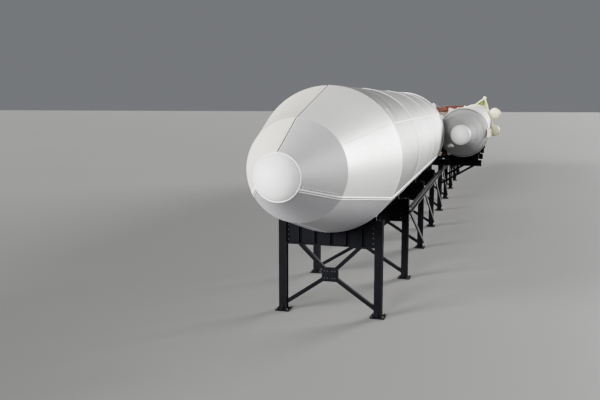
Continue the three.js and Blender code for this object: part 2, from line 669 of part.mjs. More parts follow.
// A frame under the fairing: a deep plate girder with a curved seat between two posts.
function fairingTrestle(half, station) {
  const { bottom, postTop, stiffeners } = GIRDER;
  const reach = half - WEB;
  const seat = seatArc(0, FAIRING_R, ROUND.fairing, 4);
  const under = seatArc(0, FAIRING_R + FLANGE, ROUND.fairing, 4).reverse();
  const shoulder = postTop - FLANGE;
  const web = sweep([
    [-reach, bottom], [-reach, shoulder], [under.at(-1)[0], shoulder], ...seat, [under[0][0], shoulder],
    [reach, shoulder], [reach, bottom],
  ], station - WEB, station + WEB);
  const flange = sweep([...seat, ...under], station - SADDLE_WIDTH / 2, station + SADDLE_WIDTH / 2);
  const lowerFlange = box([-reach, station - POST / 2, bottom], [reach, station + POST / 2, bottom + FLANGE]);
  const ribs = Array.from({ length: stiffeners }, (_, i) => {
    const x = reach * ((2 * (i + 1)) / (stiffeners + 1) - 1);
    const top = AXIS_HEIGHT - Math.sqrt((FAIRING_R + FLANGE) ** 2 - x ** 2);
    return box([x - WEB / 2, station - POST / 2, bottom], [x + WEB / 2, station + POST / 2, top + FLANGE / 4]);
  });
  return union(
    posts(half, postTop, station), web, flange, lowerFlange, ...ribs, crossBraces(half, bottom + FLANGE / 2, station),
  );
}

// A frame under the core and both boosters: a long cross beam with three seats, propped by knee braces.
function stageTrestle(half, station) {
  const boosterRadius = station > AFT_SKIRT.start ? AFT_SKIRT.radius : BOOSTER_R;
  const { bottom, top, half: reach } = CROSS_BEAM;
  const beam = crosswise(iSection([station, (bottom + top) / 2], POST, top - bottom), -reach, reach);
  const seats = [
    // place across the rocket, and radius and facets of the body it carries
    { x: 0, radius: CORE_R, facets: ROUND.core },
    { x: BOOSTER_OFFSET, radius: boosterRadius, facets: ROUND.booster },
    { x: -BOOSTER_OFFSET, radius: boosterRadius, facets: ROUND.booster },
  ].map(({ x, radius, facets }) => saddle(x, radius, facets, top - FLANGE / 2, station));
  const knees = [-1, 1].map((side) => bar(
    [side * (half + WEB), 1.9 * M], [side * 4.2 * M, bottom + FLANGE / 2],
    BRACE, station - BRACE / 2, station + BRACE / 2,
  ));
  const frame = union(posts(half, bottom + FLANGE / 2, station), crossBraces(half, bottom + FLANGE / 2, station));
  return union(beam, ...seats, ...knees, frame);
}

// A long rail outside the posts of one side, with a diagonal down to the next trestle in each bay.
function sideRail(sign) {
  const { bottom, top, width, start, end } = SIDE_RAIL;
  const inner = TRESTLES[1].half * M + POST / 2 + SEAM;
  const across = (from, to) => (sign > 0 ? [from, to] : [-to, -from]);
  const [x0, x1] = across(inner, inner + width);
  const plates = [[bottom, bottom + FLANGE], [top - FLANGE, top]].map(([low, high]) => box([x0, start, low], [x1, end, high]));
  const [w0, w1] = across(inner, inner + WEB);
  const web = box([w0, start, bottom], [w1, end, top]);
  const railed = TRESTLES.slice(1);
  const [d0, d1] = across(inner, inner + BRACE / 2);
  const diagonals = railed.slice(0, -1).map(({ station }, i) => {
    const [from, to] = [station * M, railed[i + 1].station * M];
    const rise = bottom - 0.3 * M;
    const run = to - from;
    const length = Math.hypot(run, rise);
    const geometry = new THREE.BoxGeometry(d1 - d0, length + 0.1 * M, BRACE);
    geometry.rotateX(-Math.atan2(rise, run));
    geometry.translate((d0 + d1) / 2, (from + to) / 2, (bottom + 0.3 * M) / 2 + FLANGE / 2);
    return solid(geometry);
  });
  return union(...plates, web, ...diagonals);
}

function stand() {
  const group = new THREE.Group();
  TRESTLES.forEach(({ station, half, boosters }, i) => {
    const made = boosters ? stageTrestle(half * M, station * M) : fairingTrestle(half * M, station * M);
    group.add(meshOf(`stand_trestle_${i + 1}`, made, BLACK_STEEL));
  });
  group.add(meshOf('stand_rail_right', sideRail(1), BLACK_STEEL));
  group.add(meshOf('stand_rail_left', sideRail(-1), BLACK_STEEL));
  return group;
}

const rocket = new THREE.Group();
rocket.add(fairing(), coreStages(), coreEngine(), booster('right'), booster('left'), struts());
rocket.position.set(0, -LENGTH / 2, AXIS_HEIGHT);

const frames = stand();
frames.position.set(0, -LENGTH / 2, 0);

const part = new THREE.Group();
part.add(rocket, frames);

export default part;
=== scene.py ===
"""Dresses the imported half-size space rocket and its display stand, and sets up the studio round them.

All sizes are in metres of the real rocket, which is twice the size of the model. A station is a distance
from the nose tip, and an angle runs from the rocket's right side (+X) upwards (+Z).
"""

from __future__ import annotations

import logging
from dataclasses import dataclass, field, replace
from enum import Enum
from itertools import product
from math import acos, asin, atan, atan2, cos, degrees, radians, sin, sqrt
from typing import Callable, Iterable, Sequence

import bmesh
import bpy
from mathutils import Matrix, Vector


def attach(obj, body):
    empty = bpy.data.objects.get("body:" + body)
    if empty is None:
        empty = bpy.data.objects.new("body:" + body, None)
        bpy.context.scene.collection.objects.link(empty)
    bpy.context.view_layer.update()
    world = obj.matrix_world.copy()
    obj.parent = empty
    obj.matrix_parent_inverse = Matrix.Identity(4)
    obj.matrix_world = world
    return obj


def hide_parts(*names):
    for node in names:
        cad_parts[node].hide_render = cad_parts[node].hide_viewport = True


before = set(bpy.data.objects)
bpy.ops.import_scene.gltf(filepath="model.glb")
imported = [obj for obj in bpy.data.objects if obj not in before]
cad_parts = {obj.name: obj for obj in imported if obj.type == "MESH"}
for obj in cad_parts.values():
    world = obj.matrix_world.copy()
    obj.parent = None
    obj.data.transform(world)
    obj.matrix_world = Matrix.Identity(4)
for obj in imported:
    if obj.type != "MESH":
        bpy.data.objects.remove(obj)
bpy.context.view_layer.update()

LOG = logging.getLogger("space_rocket")
SCALE = 0.5
LENGTH = 62.2
AXIS_HEIGHT = 5.6
BOOSTER_OFFSET = 3.55
ROCKET_BODY = "rocket_and_stand"
BACK = Vector((0.0, 1.0, 0.0))
# two points closer than this are one
TOUCHING = 1e-6
# angle in degrees from which an edge between two faces is sharp
CREASE = 32.0

Profile = Sequence[tuple[float, float]]
Points = list[tuple[float, float]]
Colour = tuple[float, float, float]
Size = tuple[float, float, float]
Inputs = Sequence[object] | dict[object, object]


class Slot(Enum):
    """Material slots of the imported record."""

    WHITE = "white_paint"
    CREAM = "cream_paint"
    BRONZE = "bronze_skin"
    RUST = "rust_paint"
    ENGINE = "engine_metal"
    LINER = "nozzle_liner"
    STEEL = "black_steel"


class Side(Enum):
    """Side of the rocket that a booster hangs on."""

    RIGHT = "right"
    LEFT = "left"

    @property
    def sign(self) -> int:
        """Sign of the side's x."""
        return 1 if self is Side.RIGHT else -1


class Level(Enum):
    """Upper or lower of a stacked pair."""

    UPPER = "upper"
    LOWER = "lower"

    @property
    def sign(self) -> int:
        """Sign of the level's height above the rocket's axis."""
        return 1 if self is Level.UPPER else -1


# Shader building blocks


# sockets of a Mix node that blends colours
MIX_FACTOR, MIX_FIRST, MIX_SECOND, MIX_RESULT = 0, 6, 7, 2


def operator(operation: str, swapped: bool = False) -> Callable[[Wire, object], Wire]:
    """Operator of a wire, with the wire as the first value of a new Math node, or as its second."""
    return lambda wire, other: wire.sheet.math(operation, *((other, wire) if swapped else (wire, other)))


class Wire:
    """Value inside a node tree. Arithmetic on it adds Math nodes."""

    def __init__(self, sheet: Sheet, socket: bpy.types.NodeSocket) -> None:
        """Hold an output socket of a sheet."""
        self.sheet, self.socket = sheet, socket

    __add__ = operator("ADD")
    __sub__ = operator("SUBTRACT")
    __rsub__ = operator("SUBTRACT", swapped=True)
    __mul__ = operator("MULTIPLY")
    __truediv__ = operator("DIVIDE")

    def clamped(self) -> Wire:
        """The same value, kept within 0 and 1 by its own node."""
        self.socket.node.use_clamp = True
        return self

    def remap(self, low: float, high: float, to_low: float = 0.0, to_high: float = 1.0) -> Wire:
        """Stretch the range from low to high over the one from to_low to to_high, clamped."""
        return self.sheet.wire("MapRange", 0, (self, low, high, to_low, to_high))


class Sheet:
    """Short hands for filling a shader node tree."""

    def __init__(self, tree: bpy.types.NodeTree) -> None:
        """Start on the tree of a material or of a node group."""
        self.tree = tree

    def feed(self, socket: bpy.types.NodeSocket, value: object) -> None:
        """Link a wire into a socket, or set the socket's value.

        Args:
            socket: Input to fill.
            value: Wire, number, vector or colour.
        """
        if isinstance(value, Wire):
            self.tree.links.new(value.socket, socket)
        else:
            socket.default_value = value

    def node(self, kind: str, inputs: Inputs = (), **settings: object) -> bpy.types.Node:
        """Add a node.

        Args:
            kind: Node type without its "ShaderNode" prefix.
            inputs: Values of its first inputs, or of inputs by name or number.
            settings: Attributes to set on the node.

        Returns:
            The new node.
        """
        made = self.tree.nodes.new("ShaderNode" + kind)
        for name, value in settings.items():
            setattr(made, name, value)
        for key, value in inputs.items() if isinstance(inputs, dict) else enumerate(inputs):
            self.feed(made.inputs[key], value)
        return made

    def wire(self, kind: str, output: int | str, inputs: Inputs = (), **settings: object) -> Wire:
        """Output of a new node, given by its number or name."""
        return Wire(self, self.node(kind, inputs, **settings).outputs[output])

    def math(self, operation: str, *values: object) -> Wire:
        """Result of a new Math node."""
        return self.wire("Math", 0, values, operation=operation)

    def blend(self, factor: object, first: object, second: object) -> Wire:
        """Mix two colours.

        Args:
            factor: Share of the second one.
            first: First colour.
            second: Second colour.

        Returns:
            The mix.
        """
        pair = [colour if isinstance(colour, Wire) else (*colour[:3], 1.0) for colour in (first, second)]
        inputs = {MIX_FACTOR: factor, MIX_FIRST: pair[0], MIX_SECOND: pair[1]}
        return self.wire("Mix", MIX_RESULT, inputs, data_type="RGBA")

    def noise(self, place: Wire, scale: object, detail: float = 3.0, rough: float = 0.55) -> Wire:
        """Noise at a place, about 0.5 on average."""
        inputs = {"Vector": place, "Scale": scale, "Detail": detail, "Roughness": rough}
        return self.wire("TexNoise", "Fac", inputs)

    def place(self) -> Wire:
        """Object coordinates of the shaded point."""
        return self.wire("TexCoord", "Object")

    def drawn(self, x: float, y: float, z: float) -> Wire:
        """Object coordinates times three factors."""
        return self.wire("VectorMath", 0, (self.place(), (x, y, z)), operation="MULTIPLY")

    def normal(self) -> Wire:
        """True normal of the shaded point."""
        return self.wire("NewGeometry", "Normal")

    def parts(self, vector: Wire) -> list[Wire]:
        """X, Y and Z of a vector."""
        return [Wire(self, socket) for socket in self.node("SeparateXYZ", (vector,)).outputs]


Fill = Callable[..., dict[str, Wire]]


class Effect:
    """Shader node group that several finishes share, built at its first use."""

    def __init__(self, fill: Fill, inputs: dict[str, float]) -> None:
        """Keep what makes the inner nodes from a sheet and its inputs, and the inputs' defaults."""
        self.fill, self.inputs = fill, inputs
        self.tree: bpy.types.NodeTree | None = None

    @staticmethod
    def label(name: str) -> str:
        """Socket label of an input's name."""
        return name.replace("_", " ").title()

    def build(self) -> bpy.types.NodeTree:
        """Make the group's tree.

        Returns:
            The tree, with its sockets and inner nodes.
        """
        tree = bpy.data.node_groups.new(self.fill.__name__, "ShaderNodeTree")
        sockets, sheet = tree.interface, Sheet(tree)
        for name, value in self.inputs.items():
            made = sockets.new_socket(name=self.label(name), in_out="INPUT", socket_type="NodeSocketFloat")
            made.default_value = value
        entry, leave = tree.nodes.new("NodeGroupInput"), tree.nodes.new("NodeGroupOutput")
        given = [Wire(sheet, entry.outputs[self.label(name)]) for name in self.inputs]
        for label, value in self.fill(sheet, *given).items():
            sockets.new_socket(name=label, in_out="OUTPUT", socket_type="NodeSocketFloat")
            sheet.feed(leave.inputs[label], value)
        return tree

    def wires(self, sheet: Sheet, **inputs: object) -> list[Wire]:
        """Place the group on a sheet.

        Args:
            sheet: Sheet of a material or of another group.
            inputs: Values of the group's inputs.

        Returns:
            Its outputs.
        """
        self.tree = self.tree or self.build()
        made = sheet.node("Group", node_tree=self.tree)
        for name, value in inputs.items():
            sheet.feed(made.inputs[self.label(name)], value)
        return [Wire(sheet, socket) for socket in made.outputs]

    def __call__(self, sheet: Sheet, **inputs: object) -> Wire:
        """First output of the group, placed on a sheet."""
        return self.wires(sheet, **inputs)[0]


def effect(**inputs: float) -> Callable[[Fill], Effect]:
    """Turn a function that fills a group into an Effect with these inputs."""
    return lambda fill: Effect(fill, inputs)


@effect(axis_x=0.0, axis_z=2.8)
def skin_place(sheet: Sheet, axis_x: Wire, axis_z: Wire) -> dict[str, Wire]:
    """Place on a round skin.

    Args:
        sheet: Sheet of the group.
        axis_x: X of the body's axis.
        axis_z: Z of the body's axis.

    Returns:
        Distances round the skin and along it, in metres.
    """
    x, y, z = sheet.parts(sheet.place())
    across, height = x - axis_x, z - axis_z
    radius = sheet.math("SQRT", across * across + height * height)
    return {"Around": sheet.math("ARCTAN2", height, across) * radius, "Along": y}


@effect(scale=1.0)
def cloudy_tone(sheet: Sheet, scale: Wire) -> dict[str, Wire]:
    """Slow changes of tone over a painted skin.

    Args:
        sheet: Sheet of the group.
        scale: Scale of the broad clouds.

    Returns:
        Tone from -1 to 1.
    """
    broad = sheet.noise(sheet.place(), scale, detail=4.0, rough=0.6)
    fine = sheet.noise(sheet.place(), scale * 9.0, detail=3.0, rough=0.6)
    return {"Tone": (broad * 0.75 + fine * 0.25).remap(0.32, 0.68, -1.0, 1.0)}


@effect(scale=3.0, amount=0.5)
def settled_dust(sheet: Sheet, scale: Wire, amount: Wire) -> dict[str, Wire]:
    """Patchy dust on faces that look up.

    Args:
        sheet: Sheet of the group.
        scale: Scale of the patches.
        amount: Share of the dust.

    Returns:
        Dust from 0 to 1.
    """
    level = sheet.parts(sheet.normal())[2].remap(0.35, 1.0)
    patches = sheet.noise(sheet.place(), scale, detail=5.0, rough=0.65).remap(0.35, 0.7)
    return {"Dust": (level * patches * amount).clamped()}


@effect(width=0.006, scale=14.0, amount=0.7)
def edge_wear(sheet: Sheet, width: Wire, scale: Wire, amount: Wire) -> dict[str, Wire]:
    """Rubbed edges, found where a rounded normal parts from the true one.

    Args:
        sheet: Sheet of the group.
        width: Radius of the rounding.
        scale: Scale of the noise that breaks the edge up.
        amount: Share of the wear.

    Returns:
        Wear from 0 to 1.
    """
    rounded_normal = sheet.wire("Bevel", 0, {"Radius": width}, samples=4)
    facing = sheet.wire("VectorMath", "Value", (rounded_normal, sheet.normal()), operation="DOT_PRODUCT")
    broken = sheet.noise(sheet.place(), scale, detail=5.0, rough=0.7).remap(0.42, 0.6)
    return {"Wear": (facing.remap(0.995, 0.86) * broken * amount).clamped()}


@effect(scale=12.0, amount=0.6)
def scuffs(sheet: Sheet, scale: Wire, amount: Wire) -> dict[str, Wire]:
    """Short bright scuffs and specks in loose patches.

    Args:
        sheet: Sheet of the group.
        scale: Scale of the scuffs.
        amount: Share of the scuffs.

    Returns:
        Marks from 0 to 1.
    """
    ridge = sheet.math(
        "ABSOLUTE", sheet.noise(sheet.drawn(1.0, 0.35, 1.0), scale, detail=2.0, rough=0.5) - 0.5,
    )
    cells = sheet.wire("TexVoronoi", "Distance", {"Vector": sheet.place(), "Scale": scale}, feature="F1")
    patches = sheet.noise(sheet.place(), 1.1, detail=4.0, rough=0.6).remap(0.54, 0.66)
    marks = sheet.math("MAXIMUM", ridge.remap(0.012, 0.004), cells.remap(0.09, 0.05))
    return {"Marks": (marks * patches * amount).clamped()}


@effect(scale=1.5, amount=0.5)
def grime(sheet: Sheet, scale: Wire, amount: Wire) -> dict[str, Wire]:
    """Broad soft dirt with a few darker runs.

    Args:
        sheet: Sheet of the group.
        scale: Scale of the dirt.
        amount: Share of the dirt.

    Returns:
        Dirt from 0 to 1.
    """
    broad = sheet.noise(sheet.place(), scale, detail=6.0, rough=0.62).remap(0.45, 0.75)
    runs = sheet.noise(sheet.drawn(5.0, 5.0, 0.7), scale, detail=4.0, rough=0.6).remap(0.4, 0.75)
    return {"Dirt": ((broad * 0.6 + runs * 0.5) * amount).clamped()}


@effect(place=0.0, pitch=1.0, width=0.01)
def seam_rows(sheet: Sheet, place: Wire, pitch: Wire, width: Wire) -> dict[str, Wire]:
    """Thin lines at an even pitch.

    Args:
        sheet: Sheet of the group.
        place: Distance along which the lines follow each other.
        pitch: Distance between two lines.
        width: Half the width of a line.

    Returns:
        Line from 0 to 1.
    """
    offset = sheet.math("ABSOLUTE", sheet.math("FRACT", place / pitch) - 0.5)
    near = (0.5 - offset) * pitch
    return {"Line": (1.0 - sheet.math("MINIMUM", near / width, 1.0)).clamped()}


@effect(around=0.0, along=0.0, pitch=0.05, row_pitch=0.5, radius=0.006)
def rivet_rows(
    sheet: Sheet, around: Wire, along: Wire, pitch: Wire, row_pitch: Wire, radius: Wire,
) -> dict[str, Wire]:
    """Small round heads in rows.

    Args:
        sheet: Sheet of the group.
        around: Distance round the skin.
        along: Distance along the skin.
        pitch: Distance between two heads of a row.
        row_pitch: Distance between two rows.
        radius: Radius of a head.

    Returns:
        Head from 0 to 1.
    """
    rows = ((around, pitch), (along, row_pitch))
    u, v = ((sheet.math("FRACT", place / step) - 0.5) * step for place, step in rows)
    return {"Head": (1.0 - sheet.math("SQRT", u * u + v * v) / radius).clamped()}


@effect(across=0.0, along=0.0, scale=60.0, stretch=0.6)
def brushing(sheet: Sheet, across: Wire, along: Wire, scale: Wire, stretch: Wire) -> dict[str, Wire]:
    """Fine lines from -1 to 1, drawn out along a turned or brushed surface."""
    place = sheet.wire("CombineXYZ", 0, (across * scale, along * stretch))
    return {"Lines": sheet.noise(place, 1.0, detail=4.0, rough=0.65).remap(0.3, 0.7, -1.0, 1.0)}


# Finishes


Layers = tuple[Wire, Wire, Wire, float]


@dataclass(frozen=True)
class Finish:
    """Base of all finishes: a name and a principled shader with a coloured base, roughness and bump."""

    name: str
    colour: Colour
    roughness: float = 0.45
    metallic: float = 0.0
    coat: float = 0.0
    specular: float = 0.5

    def material(self) -> bpy.types.Material:
        """Build the material, or find it if it exists.

        Returns:
            The material.
        """
        found = bpy.data.materials.get(self.name)
        if found:
            return found
        made = bpy.data.materials.new(self.name)
        made.use_nodes = True
        made.diffuse_color = (*self.colour, 1.0)
        sheet = Sheet(made.node_tree)
        colour, roughness, height, depth = self.paint(sheet)
        bump = sheet.wire("Bump", 0, {"Strength": 1.0, "Distance": depth, "Height": height})
        shader = made.node_tree.nodes["Principled BSDF"]
        for label, value in {
            "Base Color": colour, "Roughness": roughness, "Normal": bump, "Metallic": self.metallic,
            "Coat Weight": self.coat, "Coat Roughness": 0.15, "Specular IOR Level": self.specular,
        }.items():
            sheet.feed(shader.inputs[label], value)
        return made

    def paint(self, sheet: Sheet) -> Layers:
        """Make the base colour, the roughness, the height and the height's depth in metres."""
        raise NotImplementedError

    def shade(self, factor: float) -> Colour:
        """The finish's colour times a factor."""
        return tuple(min(1.0, part * factor) for part in self.colour)

    def toned(self, sheet: Sheet, swing: Wire, dark: float, light: float) -> Wire:
        """The colour, from its dark shade at a swing of -0.5 to its light one at 0.5."""
        return sheet.blend((swing + 0.5).clamped(), self.shade(dark), self.shade(light))


@dataclass(frozen=True)
class SkinPaint(Finish):
    """Satin paint on a rolled skin, with soft tone changes, dust, dirt, scuffs and seams."""

    tone_scale: float = 0.7
    tone_depth: float = 0.05
    dirt: float = 0.25
    dirt_colour: Colour = (0.34, 0.32, 0.28)
    dust_colour: Colour = (0.52, 0.5, 0.46)
    marks: float = 0.5
    wave: float = 0.004
    axis_x: float = 0.0
    streaks: float = 0.0
    seam_pitch: float = 0.0

    def paint(self, sheet: Sheet) -> Layers:
        """Layer the tone, dirt, dust, marks and seams over the paint.

        Args:
            sheet: The material's sheet.

        Returns:
            Base colour, roughness, height and depth.
        """
        around, along = skin_place.wires(sheet, axis_x=self.axis_x, axis_z=AXIS_HEIGHT * SCALE)
        tone = cloudy_tone(sheet, scale=self.tone_scale)
        lines = brushing(sheet, across=along, along=around, scale=7.0, stretch=0.35)
        dirt = grime(sheet, scale=1.3, amount=self.dirt)
        dust = settled_dust(sheet, scale=2.2, amount=0.22)
        colour = self.toned(sheet, tone * self.tone_depth + lines * self.streaks, dark=0.8, light=1.2)
        colour = sheet.blend(dirt, colour, self.dirt_colour)
        colour = sheet.blend(dust, colour, self.dust_colour)
        colour = sheet.blend(scuffs(sheet, scale=13.0, amount=self.marks), colour, self.shade(1.25))
        rough = (tone * 0.05 + self.roughness + (dirt + dust) * 0.35).clamped()
        peel = sheet.noise(sheet.place(), 260.0, detail=2.0, rough=0.5)
        height = peel * 0.02 + sheet.noise(sheet.place(), 0.9, detail=2.0, rough=0.4)
        if self.seam_pitch:
            seam = seam_rows(sheet, place=along, pitch=self.seam_pitch, width=0.006)
            colour = sheet.blend(seam * 0.35, colour, self.shade(0.55))
            height = height - seam * 0.25
        return colour, rough, height, self.wave


@dataclass(frozen=True)
class MetalSkin(Finish):
    """Rolled metal with panel tones, rivet rows and fine brushing round the body."""

    panel_length: float = 1.2
    panel_width: float = 0.8
    tarnish: Colour = (0.16, 0.1, 0.07)

    def paint(self, sheet: Sheet) -> Layers:
        """Vary each panel, brush it, and rivet its edges.

        Args:
            sheet: The material's sheet.

        Returns:
            Base colour, roughness, height and depth.
        """
        around, along = skin_place.wires(sheet, axis_x=0.0, axis_z=AXIS_HEIGHT * SCALE)
        panels = ((around, self.panel_width), (along, self.panel_length))
        cell = sheet.wire("CombineXYZ", 0, [sheet.math("FLOOR", place / pitch) for place, pitch in panels])
        chance = sheet.wire("TexWhiteNoise", "Value", {"Vector": cell}, noise_dimensions="2D")
        tone = cloudy_tone(sheet, scale=1.6)
        lines = brushing(sheet, across=along, along=around, scale=90.0, stretch=0.8)
        dirt = grime(sheet, scale=2.0, amount=0.55)
        seams = [seam_rows(sheet, place=place, pitch=pitch, width=0.005) for place, pitch in panels]
        seam = sheet.math("MAXIMUM", *seams)
        heads = rivet_rows(
            sheet, around=around, along=along, pitch=0.06, row_pitch=self.panel_length / 4, radius=0.007,
        )
        colour = self.toned(sheet, (chance - 0.5) * 0.34 + tone * 0.2, dark=0.62, light=1.35)
        colour = sheet.blend(dirt * 0.7, colour, self.tarnish)
        colour = sheet.blend(seam * 0.6, colour, self.shade(0.35))
        rough = (lines * 0.07 + self.roughness + dirt * 0.3).clamped()
        return colour, rough, heads - seam * 0.8 + lines * 0.03, 0.003


@dataclass(frozen=True)
class WorkedMetal(Finish):
    """Machined or forged metal of fittings and engines, with tool lines, heat tint and soot."""

    tint: Colour = (0.3, 0.2, 0.13)
    tint_share: float = 0.5
    line_scale: float = 160.0
    wear: float = 0.4

    def paint(self, sheet: Sheet) -> Layers:
        """Cloud the metal with tint and rub its edges bright.

        Args:
            sheet: The material's sheet.

        Returns:
            Base colour, roughness, height and depth.
        """
        dirt = grime(sheet, scale=3.0, amount=0.7)
        wear = edge_wear(sheet, width=0.004, scale=18.0, amount=self.wear)
        tool = sheet.noise(sheet.drawn(1.0, 0.06, 1.0), self.line_scale, detail=3.0, rough=0.6)
        colour = self.toned(sheet, cloudy_tone(sheet, scale=3.5) * 0.35, dark=0.65, light=1.25)
        colour = sheet.blend(dirt * self.tint_share, colour, self.tint)
        colour = sheet.blend(wear, colour, self.shade(1.7))
        return colour, ((tool - 0.5) * 0.25 + self.roughness + dirt * 0.25).clamped(), tool, 0.0006


@dataclass(frozen=True)
class SteelPaint(Finish):
    """Brushed-on paint over structural steel, chipped at its edges and dusty on its flats."""

    chip: Colour = (0.22, 0.2, 0.18)
    chip_share: float = 0.6
    dust: float = 0.55
    dust_colour: Colour = (0.3, 0.29, 0.27)

    def paint(self, sheet: Sheet) -> Layers:
        """Layer paint, chips and dust.

        Args:
            sheet: The material's sheet.

        Returns:
            Base colour, roughness, height and depth.
        """
        wear = edge_wear(sheet, width=0.006, scale=22.0, amount=self.chip_share)
        dust = settled_dust(sheet, scale=6.0, amount=self.dust)
        mill = sheet.noise(sheet.place(), 34.0, detail=5.0, rough=0.6)
        colour = self.toned(sheet, cloudy_tone(sheet, scale=2.4) * 0.3, dark=0.6, light=1.5)
        colour = sheet.blend(scuffs(sheet, scale=20.0, amount=0.25), colour, self.shade(3.0))
        colour = sheet.blend(wear, colour, self.chip)
        colour = sheet.blend(dust * 0.5, colour, self.dust_colour)
        return colour, ((mill - 0.5) * 0.2 + self.roughness + dust * 0.4).clamped(), mill, 0.0012


@dataclass(frozen=True)
class CharredLiner(Finish):
    """Wrapped composite of a nozzle, with wound plies round its axis and soot."""

    ply: float = 0.03
    soot: Colour = (0.012, 0.012, 0.013)

    def paint(self, sheet: Sheet) -> Layers:
        """Draw the plies and darken them unevenly.

        Args:
            sheet: The material's sheet.

        Returns:
            Base colour, roughness, height and depth.
        """
        along = sheet.parts(sheet.place())[1]
        plies = seam_rows(sheet, place=along, pitch=self.ply, width=self.ply * 0.4)
        dirt = grime(sheet, scale=2.6, amount=0.9)
        colour = self.toned(sheet, cloudy_tone(sheet, scale=2.8) * 0.35, dark=0.6, light=1.4)
        colour = sheet.blend(plies * 0.35, colour, self.shade(0.45))
        colour = sheet.blend(dirt, colour, self.soot)
        rough = (dirt * 0.2 + self.roughness).clamped()
        return colour, rough, sheet.noise(sheet.place(), 60.0, detail=3.0, rough=0.6) - plies, 0.0015


@dataclass(frozen=True)
class StudioFloor(Finish):
    """Plain pale floor with a faint unevenness."""

    def paint(self, sheet: Sheet) -> Layers:
        """Vary the tone and the gloss a little.

        Args:
            sheet: The material's sheet.

        Returns:
            Base colour, roughness, height and depth.
        """
        tone = cloudy_tone(sheet, scale=0.12)
        colour = self.toned(sheet, tone * 0.1, dark=0.94, light=1.05)
        rough = (tone * 0.03 + self.roughness).clamped()
        return colour, rough, sheet.noise(sheet.place(), 30.0, detail=3.0, rough=0.5), 0.0004


SHROUD_WHITE = SkinPaint(
    "shroud_white", (0.62, 0.62, 0.605), roughness=0.4, specular=0.7, marks=0.6, dirt=0.14, tone_depth=0.1,
)
# Darker grey copy of the shroud white for the right sector's front cone: painted shade
SHROUD_FRONT_SHADE = SkinPaint(
    "shroud_front_painted_shade", (0.42, 0.42, 0.43), roughness=0.5, marks=0.7, dirt=0.2, tone_depth=0.12,
)
# Darker grey copy of the shroud paint for the bottom sector: painted shade on the underside
SHROUD_SHADE = SkinPaint(
    "shroud_lower_painted_shade", (0.32, 0.32, 0.345), roughness=0.5, marks=0.5, dirt=0.2, tone_depth=0.1,
)
SHROUD_CREAM = SkinPaint("shroud_cream", (0.8, 0.775, 0.7), coat=0.05, marks=0.3, dirt=0.14, tone_depth=0.1)
CAP_WHITE = SkinPaint("cap_white", (0.8, 0.805, 0.81), roughness=0.5, coat=0.05, marks=0.15, dirt=0.06)
SHROUD_SILVER = SkinPaint(
    "shroud_silver", (0.27, 0.274, 0.273), roughness=0.34, metallic=0.3, specular=0.15, marks=0.25, dirt=0.4,
    tone_depth=0.3, streaks=0.2, dirt_colour=(0.12, 0.12, 0.115),
)
# Darker copy of the silver for the first barrel panel behind the shoulder: painted shade
SILVER_PAINTED_SHADE = replace(SHROUD_SILVER, name="shroud_silver_painted_shade", colour=(0.15, 0.153, 0.152))
BAND_WHITE = SkinPaint("band_white", (0.86, 0.86, 0.85), marks=0.2, dirt=0.1)
# Grey copy of the booster white for the forward skirt, darker than the cases: painted shade
BOOSTER_SKIRT_SHADE = SkinPaint(
    "booster_skirt_painted_shade", (0.34, 0.34, 0.34), roughness=0.65, specular=0.02, dirt=0.3, tone_depth=0.14,
    streaks=0.06,
)
BOOSTER_CASE = replace(
    BOOSTER_SKIRT_SHADE, name="booster_case_white", colour=(0.66, 0.66, 0.65), roughness=0.5, specular=0.3,
    seam_pitch=1.04,
)
# Darker grey copy for the nose cone, which sets off its white tip: painted shade
BOOSTER_CONE_SHADE = replace(BOOSTER_SKIRT_SHADE, name="booster_cone_painted_shade", colour=(0.25, 0.255, 0.26))
BOOSTER_TIP_WHITE = SkinPaint("booster_tip_white", (0.95, 0.95, 0.94), dirt=0.03)
CREAM = SkinPaint("cream_paint_aged", (0.87, 0.82, 0.5), dirt=0.12, tone_depth=0.1)
CORK = SkinPaint(
    "cork_band", (0.45, 0.36, 0.26), roughness=0.75, dirt=0.3, tone_scale=6.0, tone_depth=0.3, wave=0.006,
)
HEAT_BLANKET = SkinPaint(
    "heat_blanket", (0.5, 0.49, 0.46), roughness=0.5, metallic=0.5, dirt=0.5, tone_scale=5.0,
    tone_depth=0.3, wave=0.02,
)
BRONZE = MetalSkin("bronze_skin_panels", (0.17, 0.1, 0.06), roughness=0.65, metallic=0.05, specular=0.03)
BRONZE_RIBS = replace(
    BRONZE, name="bronze_skin_ribs", colour=(0.24, 0.155, 0.1), panel_length=0.7, panel_width=0.3,
)
RACEWAY_METAL = WorkedMetal("raceway_metal", (0.1, 0.07, 0.05), roughness=0.7, metallic=0.05, specular=0.03)
FASTENER = WorkedMetal("fastener_metal", (0.5, 0.49, 0.46), roughness=0.35, metallic=0.95, wear=0.6)
DULL_FASTENER = WorkedMetal("dull_fastener_metal", (0.05, 0.05, 0.055), roughness=0.5, metallic=0.8, wear=0.3)
ENGINE = WorkedMetal("engine_steel", (0.44, 0.42, 0.39), roughness=0.34, metallic=0.95)
BELL = WorkedMetal(
    "bell_tubes", (0.36, 0.33, 0.3), roughness=0.36, metallic=0.95, tint=(0.22, 0.15, 0.2), tint_share=0.6,
)
PUMP = WorkedMetal(
    "pump_castings", (0.55, 0.54, 0.5), roughness=0.5, metallic=0.8, tint=(0.3, 0.26, 0.2), line_scale=60.0,
)
RUST = SteelPaint(
    "rust_red_paint", (0.05, 0.014, 0.009), roughness=0.6, specular=0.1, chip=(0.2, 0.09, 0.06), dust=0.08,
)
RUST_BARREL = SteelPaint(
    "rust_brown_paint", (0.065, 0.021, 0.013), roughness=0.55, specular=0.1, chip=(0.25, 0.13, 0.09),
    dust=0.1,
)
PRIMER_GREEN = SteelPaint(
    "primer_green", (0.16, 0.21, 0.035), roughness=0.55, chip=(0.3, 0.32, 0.2), dust=0.2,
)
